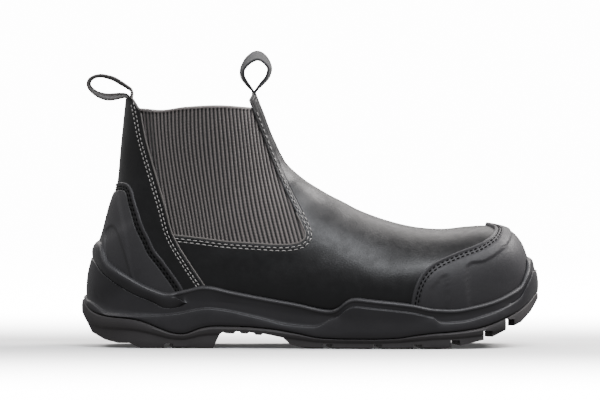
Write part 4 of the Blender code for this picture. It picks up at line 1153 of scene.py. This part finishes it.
def build_counter(last, finish):
    """Moulded heel counter with rolled rim, stitch groove, facet and arch."""
    edge = [p for p in round_heel(last, counter_top, 180, 90.0, 0.4, 0.4) if p[0] < along(0.2405)]
    foot = round_heel(last, counter_foot, 90, 84.0, 0.3, 0.6)
    top = spaced(edge, COUNTER_COLUMNS)
    low = spaced([edge[0]] + foot + [edge[-1]], COUNTER_COLUMNS)
    shares = np.concatenate([np.linspace(0.0, 0.22, 40), np.linspace(0.22, 1.0, 50)[1:]])
    grid, normals = [], []
    for a, b in zip(top, low):
        found = [last.near(a + (b - a) * s) for s in shares]
        grid.append([f[0] for f in found])
        normals.append([f[1] for f in found])
    grid, normals = np.array(grid), np.array(normals)
    flat = grid.reshape(-1, 3)
    gone = distance_to(flat, top)
    heights = overlay_profile(gone, COUNTER_THICK, 0.0026, 0.0058)
    heights += emboss(flat, [(COUNTER_ARCH, -0.0007, 0.0009), (COUNTER_FACET, 0.0006, 0.0030)])
    heights = heights.reshape(grid.shape[:2])
    finish_patch("heel_counter_moulded", grid, normals, heights, finish, "heel_counter")
    return grid, normals, heights


def patch_seam(grid, normals, heights, distance, shift):
    """Row of stitches at a distance inside the first edge of a patch."""
    spots, turned = [], []
    edge = grid[:, 0]
    for row, facing, high in zip(grid, normals, heights):
        gone = distance_to(row, edge)
        if gone.max() < distance:
            continue
        k = max(int(np.argmax(gone >= distance)), 1)
        part = (distance - gone[k - 1]) / max(gone[k] - gone[k - 1], 1e-9)
        spots.append(row[k - 1] + (row[k] - row[k - 1]) * part + facing[k] * high[k])
        turned.append(facing[k])
    even = spaced(np.concatenate([np.array(spots), np.array(turned)], axis=1), 400)
    return seam(even[:, :3], even[:, 3:], BLACK_THREAD, shift)


class Wall:
    """Columns round the sole. Each can tell a point at a height and a distance off the upper."""

    def __init__(self, last):
        self.tree = last.tree
        outer = [last.points[last.index[i][0]] for i in last.open_rows]
        inner = [last.points[last.index[i][ROUND]] for i in last.open_rows]
        toe = last.points[0]
        heel = last.points[last.index[last.open_rows[-1] + 1][0]]
        count = int(length_of([toe] + outer + [heel]) / SOLE_PITCH)
        outer = spaced([toe] + outer + [heel], count)
        inner = spaced([toe] + inner + [heel], count)
        self.half = count - 2
        self.feet = list(outer) + list(inner[1:-1][::-1])
        total = len(self.feet)
        self.outward = []
        for k in range(total):
            run = self.feet[(k + 2) % total] - self.feet[k - 2]
            self.outward.append(unit([run[1], -run[0], 0.0]))
        if self.outward[0][0] < 0:
            self.outward = [-normal for normal in self.outward]

    def at(self, k, height, thick):
        """Point of column k at a height, with a distance from the upper's face."""
        foot, outward = self.feet[k], self.outward[k]
        probe = max(height, foot[2] + 4 * GAP)
        start = Vector((foot[0], foot[1], probe)) + Vector(outward) * 0.05
        hit = self.tree.ray_cast(start, -Vector(outward), 0.1)[0]
        found = np.array(hit) if hit else foot.copy()
        found = found + outward * thick
        found[2] = height
        return found

    def on_line(self, k, line, thick):
        """Height of column k on a side profile, read where the wall stands."""
        height = self.feet[k][2]
        for _ in range(5):
            x = self.at(k, height, thick)[0]
            height = curve(line, x / LENGTH + 0.5) * LEG_HEIGHT
        return height

    def ring(self, heights, thicknesses):
        """Ring of points at the given heights and distances from the upper's face."""
        return [self.at(k, *row) for k, row in enumerate(zip(heights, thicknesses))]

    def seat(self, heights, lower=0.0):
        """Ring inside the upper's edge, at the given heights but below the foot bed."""
        base = [foot - out * SEAT_INSET for foot, out in zip(self.feet, self.outward)]
        return [np.array([p[0], p[1], min(height, bed(p[0]) - SEAT_DROP) - lower])
                for p, height in zip(base, heights)]

    def stack(self, rings):
        """Closed body from rings of column points, with lids that run across the shoe."""
        count = len(self.feet)
        points = [p for ring in rings for p in ring]
        faces = ring_faces(len(rings), count)
        for base in (0, (len(rings) - 1) * count):
            for k in range(self.half + 1):
                ring = [base + k, base + k + 1, base + (count - k - 1) % count, base + (count - k) % count]
                faces.append(tuple(dict.fromkeys(ring)))
        return points, faces


def eased(heights):
    """Smooth a closed ring of heights a little."""
    heights = np.array(heights)
    for _ in range(2):
        heights = (np.roll(heights, 1) + 2 * heights + np.roll(heights, -1)) / 4
    return heights


SoleColumn = namedtuple("SoleColumn", "parting step low high bead rim band gap toe heel")


def sole_lines(wall):
    """Heights of parting, step, band, bead and rim in each column, and how far each form shows."""
    count = len(wall.feet)
    parting = eased([wall.on_line(k, PARTING_LINE, STEP_THICK) for k in range(count)])
    rim = eased([wall.on_line(k, RIM_LINE, RIM_THICK) for k in range(count)])
    bead = rim - BEAD_HEIGHT
    step = eased([wall.on_line(k, STEP_LINE, STEP_THICK) for k in range(count)])
    step = np.minimum(np.maximum(step, parting + 0.0015), bead - 0.0034)
    band_low = [wall.on_line(k, BAND_LOW, BEAD_THICK) for k in range(count)]
    band_high = [wall.on_line(k, BAND_HIGH, BEAD_THICK) for k in range(count)]
    found = []
    for k in range(count):
        band = np.clip((band_high[k] - band_low[k]) / 0.0016, 0.0, 1.0)
        gap = np.clip((bead[k] - band_high[k]) / 0.0012, 0.0, 1.0)
        low = np.clip(band_low[k], step[k] + 0.0010, bead[k] - 0.0014)
        high = np.clip(band_high[k], low + 0.0006, bead[k] - 0.0006)
        toe, heel = max(wall.outward[k][0], 0.0) ** 2, max(-wall.outward[k][0], 0.0) ** 2
        found.append(SoleColumn(parting[k], step[k], low, high, bead[k], rim[k], band, gap, toe, heel))
    return found


def midsole_profile(at):
    """Heights and thicknesses of the midsole's side in one column, from the parting to the rim."""
    low_wall = WALL_THICK + (STEP_THICK - WALL_THICK) * at.toe
    wall = WALL_THICK + (BEAD_THICK - WALL_THICK) * at.toe
    sunk, band = wall - BAND_SINK * at.band, wall + BAND_RELIEF * at.band
    gap = band + (wall - band) * at.gap
    top = BEAD_THICK + (band - BEAD_THICK) * (1 - at.gap) * at.band
    rows = [(at.parting, STEP_THICK - 0.0004), (at.parting + 0.0004, STEP_THICK)]
    for share in (0.25, 0.5, 0.75, 1.0):
        height = at.parting + 0.0004 + (at.step - 0.0012 - at.parting) * share
        rows.append((height, STEP_THICK + 0.0003 * math.sin(math.pi * share)))
    rows += [(at.step - 0.0004, STEP_THICK - 0.0001), (at.step, STEP_THICK - 0.0003),
             (at.step + 0.0003, low_wall + 0.0008 * (1 - at.toe)), (at.step + 0.0005, low_wall + 0.0003),
             (at.step + 0.0008, low_wall)]
    for share in (0.2, 0.4, 0.6, 0.8, 1.0):
        height = at.step + 0.0008 + (at.low - 0.0011 - at.step) * share
        rows.append((height, low_wall + (wall - low_wall) * share))
    rows += [(at.low - 0.0002, wall), (at.low, wall - 0.0001 * at.band), (at.low + 0.0002, sunk)]
    for share in (0.25, 0.5, 0.75, 1.0):
        height = at.low + 0.0002 + (at.high - 0.0005 - at.low) * share
        rows.append((height, sunk + (band - sunk) * math.sin(math.pi / 2 * share)))
    rows += [(at.high, (band + gap) / 2), (at.high + 0.0002, gap), (at.bead - 0.0003, gap),
             (at.bead, gap + (top - gap) * 0.3), (at.bead + 0.0003, gap + (top - gap) * 0.8),
             (at.bead + 0.0006, top)]
    rows += [(at.rim - 0.0022, top), (at.rim - 0.0016, top - 0.0002), (at.rim - 0.0011, top - 0.0005),
             (at.rim - 0.0006, top - 0.0010), (at.rim - 0.0003, top - 0.0014),
             (at.rim - 0.0001, top - 0.0019), (at.rim, top - 0.0024),
             (at.rim - 0.0003, 0.0008), (at.rim - 0.0012, 0.0002), (at.rim - 0.0020, -0.0010)]
    middle, roll = (at.low + at.rim) / 2, BAND_ROLL * at.band * (1 - at.gap)
    found = []
    for height, thick in rows:
        if thick > 0.0009:
            lean = roll * max(0.0, (height - middle) / (at.rim - middle)) ** 2
            thick = max(thick - lean, 0.0009)
        swell = HEEL_BULGE * at.heel * max(0.0, (at.rim - 0.004 - height) / (at.rim - at.parting))
        found.append((height, thick + swell))
    return found


def build_midsole(wall, finish):
    """Moulded cup that the upper stands in."""
    lines = sole_lines(wall)
    rings = [wall.seat([row.parting for row in lines])]
    for level in zip(*[midsole_profile(row) for row in lines]):
        rings.append(wall.ring(*zip(*level)))
    for lift, thick in ((0.0008, -0.0010), (-0.0006, -0.0012)):
        rings.append(wall.ring([foot[2] + lift for foot in wall.feet], [thick] * len(lines)))
    piece("midsole_moulded", *wall.stack(rings), [finish], "midsole_foam", "midsole", sharp=60)
    return lines


def groove_plan(share):
    """Plan of a groove across the tread that points back at the middle line, and its top."""
    half, reach = GROOVE_WIDTH / 2, BALL_WIDTH
    x, sweep = along(share), GROOVE_SWEEP * LENGTH
    plan = [(x + half, -reach), (x + half - sweep, MIDDLE_Y), (x + half, reach),
            (x - half, reach), (x - half - sweep, MIDDLE_Y), (x - half, -reach)]
    return plan, LUG_DEPTH + curve(TOE_SPRING[1:-1], share) * LEG_HEIGHT


def channel_plan(start, end, off):
    """Plan of a groove along the tread, and its top."""
    y, half = MIDDLE_Y + off * BALL_WIDTH, GROOVE_WIDTH / 3
    plan = [(along(start), y - half), (along(end), y - half), (along(end), y + half),
            (along(start), y + half)]
    return plan, LUG_DEPTH


def blocks(name, plans):
    """Cutter of upright blocks under the tread. plans: (plan, top) pairs."""
    points, faces = [], []
    for plan, top in plans:
        start, n = len(points), len(plan)
        points += [(x, y, z) for z in (-LUG_DEPTH, top) for x, y in plan]
        faces.append(tuple(start + k for k in range(n)))
        faces.append(tuple(start + n + k for k in reversed(range(n))))
        faces += [(start + k, start + (k + 1) % n, start + (k + 1) % n + n, start + k + n)
                  for k in range(n)]
    return link(name, mesh_of(name, points, faces))


# Rings down the outsole's side: height as a share of the parting's and a lift, what the wall
# stands out past the flange, and how far it blends to its thickness on the floor
OUTSOLE_RINGS = [
    (1.0, -GAP, -0.0018, 0.0), (1.0, -GAP - 0.0003, -0.0010, 0.0), (1.0, -0.0011, -0.0003, 0.0),
    (0.85, 0.0, 0.0002, 0.0), (0.62, 0.0012, 0.0, 0.0), (0.62, 0.0005, -0.0003, 0.0),
    (0.62, 0.0, -0.0008, 0.0), (0.62, -0.0004, -0.0011, 0.0), (0.45, 0.0, -0.0010, 0.3),
    (0.30, 0.0, -0.0010, 0.6), (0.15, 0.0, -0.0008, 0.8)]


def build_outsole(wall, partings, finish):
    """Tread with heel, arch and toe spring."""
    partings = np.array(partings)
    flange = np.array([FLANGE_THICK + HEEL_FLARE * max(0.0, -out[0]) ** 2 for out in wall.outward])
    rings = [wall.seat(partings, GAP)]
    for share, lift, past, blend in OUTSOLE_RINGS:
        thick = (flange + past) * (1 - blend) + (FOOT_THICK + 0.0006) * blend
        rings.append(wall.ring(partings * share + lift, thick))
    for height, thick in ((0.0003, FOOT_THICK), (0.0, FOOT_THICK - 0.0004)):
        rings.append(wall.ring([height] * len(partings), [thick] * len(partings)))
    made = piece("outsole_tread", *wall.stack(rings), [finish], "outsole_rubber", "outsole")
    cutters = [(prism(name, [point(p) for p in outline]), "DIFFERENCE") for name, outline in
               (("arch_cut", ARCH), ("toe_cut", TOE_SPRING), ("heel_cut", HEEL_BEVEL))]
    cutters.append((blocks("cross_cut", [groove_plan(share) for share in CROSS_GROOVES]), "DIFFERENCE"))
    cutters.append((blocks("channel_cut", [channel_plan(*row) for row in CHANNELS]), "DIFFERENCE"))
    carve(made, cutters)
    made.data.shade_smooth()
    made.data.set_sharp_from_angle(angle=math.radians(28))
    return made


def build_insole(wall, finish):
    """Insock on the foot bed, with a rounded edge."""
    rings = []
    for up, inset in ((0.0, 0.0002), (0.3, 0.0), (0.8, 0.0), (0.95, 0.0003), (1.0, 0.0012)):
        ring = []
        for foot, outward in zip(wall.feet, wall.outward):
            p = foot - outward * (LEATHER + 0.0012 + inset)
            p[2] = bed(p[0]) + GAP + up * INSOLE_THICK
            ring.append(p)
        rings.append(ring)
    return piece("insole_cover", *wall.stack(rings), [finish], "insole_fabric", "insole")


def build_loop(name, rows, finishes, node):
    """Webbing loop: a tape swept along its centre line, leaning about its own run.

    finishes: the inner face, then the rest.
    """
    line = rounded([np.array([along(x), z * LEG_HEIGHT, math.radians(lean)]) for x, z, lean in rows], 8)
    line = np.array(line)
    runs = unit(np.gradient(line[:, :2], axis=0))
    gone = run_of(line[:, :2])
    across = np.concatenate([[-1.0, -0.97], np.linspace(-0.93, 0.93, 25), [0.97, 1.0]])
    bulge = np.where(np.abs(across) > 0.94, 0.55, 1.0)
    bulge[[0, -1]] = 0.15
    rings, run_at, across_at = [], [], []
    for (x, z, lean), run, way in zip(line, runs, gone):
        out = np.array([-run[1], 0.0, run[0]])
        wide = np.array([0.0, 1.0, 0.0]) * math.cos(lean) + out * math.sin(lean)
        face = out * math.cos(lean) - np.array([0.0, 1.0, 0.0]) * math.sin(lean)
        middle = np.array([x, MIDDLE_Y, z])
        ring = [middle + wide * TAPE_WIDTH / 2 * a + face * TAPE_THICK / 2 * b
                for a, b in zip(across, bulge)]
        ring += [middle + wide * TAPE_WIDTH / 2 * a - face * TAPE_THICK / 2 * b
                 for a, b in zip(across[::-1], bulge[::-1])]
        rings.append(ring)
        run_at.append([way] * len(ring))
        across_at.append(list(across * TAPE_WIDTH / 2) + list(across[::-1] * TAPE_WIDTH / 2))
    count, size = len(rings), len(rings[0])
    faces = ring_faces(count, size) + ring_lids(count, size)
    points = [p for ring in rings for p in ring]
    made = piece(name, points, faces, finishes, "webbing", node)
    for k, face in enumerate(made.data.polygons):
        within = size // 2 + 2 <= k % size < size - 3 and k < (count - 1) * size
        face.material_index = 0 if within else 1
    set_attribute(made, "run", np.array(run_at).ravel())
    set_attribute(made, "across", np.array(across_at).ravel())
    return made


# Rows of white stitches: distance inside the edge and shift along it in metres, share of the
# edge from its start
Row = namedtuple("Row", "inset shift share")
GORE_ROWS = [Row(0.0021, 0.0020, 1.0), Row(0.0040, 0.0, 0.72)]
STRIP_ROWS = [Row(0.0027, 0.0, 1.0), Row(0.0045, 0.0015, 1.0)]
# Rows of black stitches, distances inside the edge
CAP_ROWS = (0.0031, 0.0048)
COUNTER_ROWS = (0.0035, 0.0051)
ROW_SHIFT = 0.0016        # between one black row and the next
STRIP_STITCHED = 0.972    # height up to which the strip is stitched, share of LEG_HEIGHT
STRIP_RAW = 0.936         # and up to which its edge shows raw


def side_rows(last, side, edge, rows, thread, lift):
    """White rows beside a side view edge."""
    found = []
    for row in rows:
        line = spaced(shifted(edge, -row.inset)[:int(len(edge) * row.share)], 220)
        spots, normals = on_side(last, line, side, lift)
        found += seam(spots, normals, thread, row.shift)
    return found


def raw_edge(last, side, edge, lift, radius):
    """Bead of raw leather along a side view edge."""
    return tube(on_side(last, spaced(edge, 160), side, lift)[0], radius)


def build_seams(last, cap, counter, finishes):
    """All rows of stitches, and the beads of raw edge."""
    white, black, raw = finishes
    foot = np.array(window_foot())
    round_gore = np.array(list(foot[:-1]) + smooth_line(GORE_FRONT))
    strip = np.array(smooth_line(STRIP_FRONT))
    heights = strip[:, 1] / LEG_HEIGHT
    stitched, raw_strip = strip[heights < STRIP_STITCHED], strip[heights < STRIP_RAW]
    pale, beads, dark = [], [], []
    for side in (-1, 1):
        pale += side_rows(last, side, round_gore, GORE_ROWS, GORE_THREAD, 0.0001)
        pale += side_rows(last, side, stitched, STRIP_ROWS, STRIP_THREAD, GAP + STRIP_THICK)
        beads.append(raw_edge(last, side, foot, -0.0003, 0.00055))
        beads.append(raw_edge(last, side, raw_strip, GAP + STRIP_THICK * 0.5, 0.00065))
    for patch, rows in ((cap, CAP_ROWS), (counter, COUNTER_ROWS)):
        for k, distance in enumerate(rows):
            dark += patch_seam(*patch, distance, ROW_SHIFT * k)
    piece("thread_pale", *join(pale), [white])
    piece("edge_beads", *join(beads), [raw], "leather")
    piece("thread_black", *join(dark), [black])


def build_boot():
    """All pieces of the boot."""
    last = Last()
    wall = Wall(last)
    leather, raw = leather_finish(), raw_edge_finish()
    moulded, elastic = moulded_finish(), elastic_finish()
    build_upper(last, [leather, lining_finish(), raw])
    build_gore(last, "gore_lateral", -1, elastic)
    build_gore(last, "gore_medial", 1, elastic)
    build_strip(last, [leather, raw])
    cap = build_cap(last, moulded)
    counter = build_counter(last, moulded)
    lines = build_midsole(wall, midsole_finish())
    build_outsole(wall, [line.parting for line in lines], outsole_finish())
    build_insole(wall, insole_finish())
    grey = tape_finish("webbing_grey", (0.030, 0.028, 0.027), (0.130, 0.120, 0.115))
    pale = tape_finish("webbing_pale", (0.080, 0.074, 0.071), (0.260, 0.245, 0.235))
    black = tape_finish("webbing_black", (0.004, 0.004, 0.005), (0.022, 0.022, 0.025))
    red = tape_finish("webbing_red", (0.150, 0.010, 0.014), (0.360, 0.030, 0.036))
    build_loop("pull_loop_rear_tape", REAR_LOOP, [pale, grey], "pull_loop_rear")
    build_loop("pull_loop_front_tape", FRONT_LOOP, [red, black], "pull_loop_front")
    threads = (
        thread_finish("thread_white", (0.36, 0.345, 0.335)),
        thread_finish("thread_dark", (0.0015, 0.0015, 0.0018), 0.05))
    build_seams(last, cap, counter, (*threads, raw))


def build_floor():
    """Pale floor that turns up into a white surround behind the boot, its glow kept low in a strip under
    the boot as painted shade.
    """
    mesh = bpy.data.meshes.new("floor")
    front, back, wide, rise, turn = -7.0, 7.0, 7.0, 3.0, 0.5
    profile = [(front, 0.0), (back - turn, 0.0)]
    profile += [(back - turn + turn * math.sin(a), turn - turn * math.cos(a))
                for a in np.linspace(0.0, math.pi / 2, 13)[1:]]
    profile.append((back, rise))
    points = [(x, y, z) for y, z in profile for x in (-wide, wide)]
    faces = [(2 * k, 2 * k + 1, 2 * k + 3, 2 * k + 2) for k in range(len(profile) - 1)]
    mesh.from_pydata(points, [], faces)
    mesh.shade_smooth()
    made = Finish("floor", (0.82, 0.82, 0.82), 0.75)
    made.shader.inputs["Emission Color"].default_value = (1.0, 1.0, 1.0, 1.0)
    split = made.node("ShaderNodeSeparateXYZ")
    made.tree.links.new(made.place, split.inputs["Vector"])
    # Glow rises with distance from the middle line: low under the boot, which is painted shade, and bright
    # away from it.
    far = made.node("ShaderNodeMapRange", interpolation_type="SMOOTHSTEP")
    for slot, value in (("From Min", PAINTED_SHADE_REACH), ("From Max", FLOOR_BRIGHT),
                        ("To Min", PAINTED_SHADE_GLOW), ("To Max", BACKDROP_GLOW)):
        far.inputs[slot].default_value = value
    off = made.maths("ABSOLUTE", split.outputs["Y"])
    made.tree.links.new(off, far.inputs["Value"])
    made.tree.links.new(far.outputs["Result"], made.shader.inputs["Emission Strength"])
    mesh.materials.append(made.made)
    floor = link("floor", mesh)
    floor.visible_glossy = False
    floor.visible_diffuse = False


def softbox(name, place, target, size, power, tint=(1.0, 1.0, 1.0)):
    """Rectangular soft light."""
    data = bpy.data.lights.new(name, "AREA")
    data.shape = "RECTANGLE"
    data.size, data.size_y = size
    data.energy = power
    data.color = tint
    made = link(name, data)
    made.location = place
    made.rotation_mode = "QUATERNION"
    made.rotation_quaternion = (Vector(target) - Vector(place)).to_track_quat("-Z", "Y")


def build_light():
    """Even surround, broad warm boxes behind, over the toe and the heel, a cool one in front."""
    world = bpy.data.worlds.new("surround")
    world.use_nodes = True
    back = world.node_tree.nodes["Background"]
    back.inputs["Color"].default_value = (1.0, 1.0, 1.0, 1.0)
    back.inputs["Strength"].default_value = 0.42
    bpy.context.scene.world = world
    middle = (0.0, 0.0, 0.06)
    softbox("behind", (0.1, 1.15, 1.0), middle, (2.4, 0.9), 20.0, (1.0, 0.96, 0.94))
    softbox("front_high", (0.35, -0.75, 1.25), middle, (1.1, 0.45), 24.0, (0.94, 0.96, 1.0))
    softbox("toe_back", (1.1, 0.32, 1.25), middle, (0.9, 0.9), 56.0, (1.0, 0.97, 0.96))
    softbox("heel_high", (-1.0, 0.05, 1.3), middle, (0.9, 0.7), 12.0)


def build_camera():
    """Long lens from the outer side, nearly level, aimed at the middle of the photo's frame."""
    aim = Vector((-0.0067, 0.0, 0.0978))
    frame_width, distance, sensor = 0.402, 4.0, 36.0
    lift = math.radians(1.2)
    data = bpy.data.cameras.new("camera")
    data.sensor_width = sensor
    data.lens = sensor * distance / frame_width
    data.clip_start, data.clip_end = 0.1, 40.0
    camera = link("camera", data)
    back = Vector((0.0, -math.cos(lift), math.sin(lift)))
    camera.location = aim + back * distance
    camera.rotation_mode = "QUATERNION"
    camera.rotation_quaternion = (-back).to_track_quat("-Z", "Y")
    bpy.context.scene.camera = camera


build_boot()
build_floor()
build_light()
build_camera()
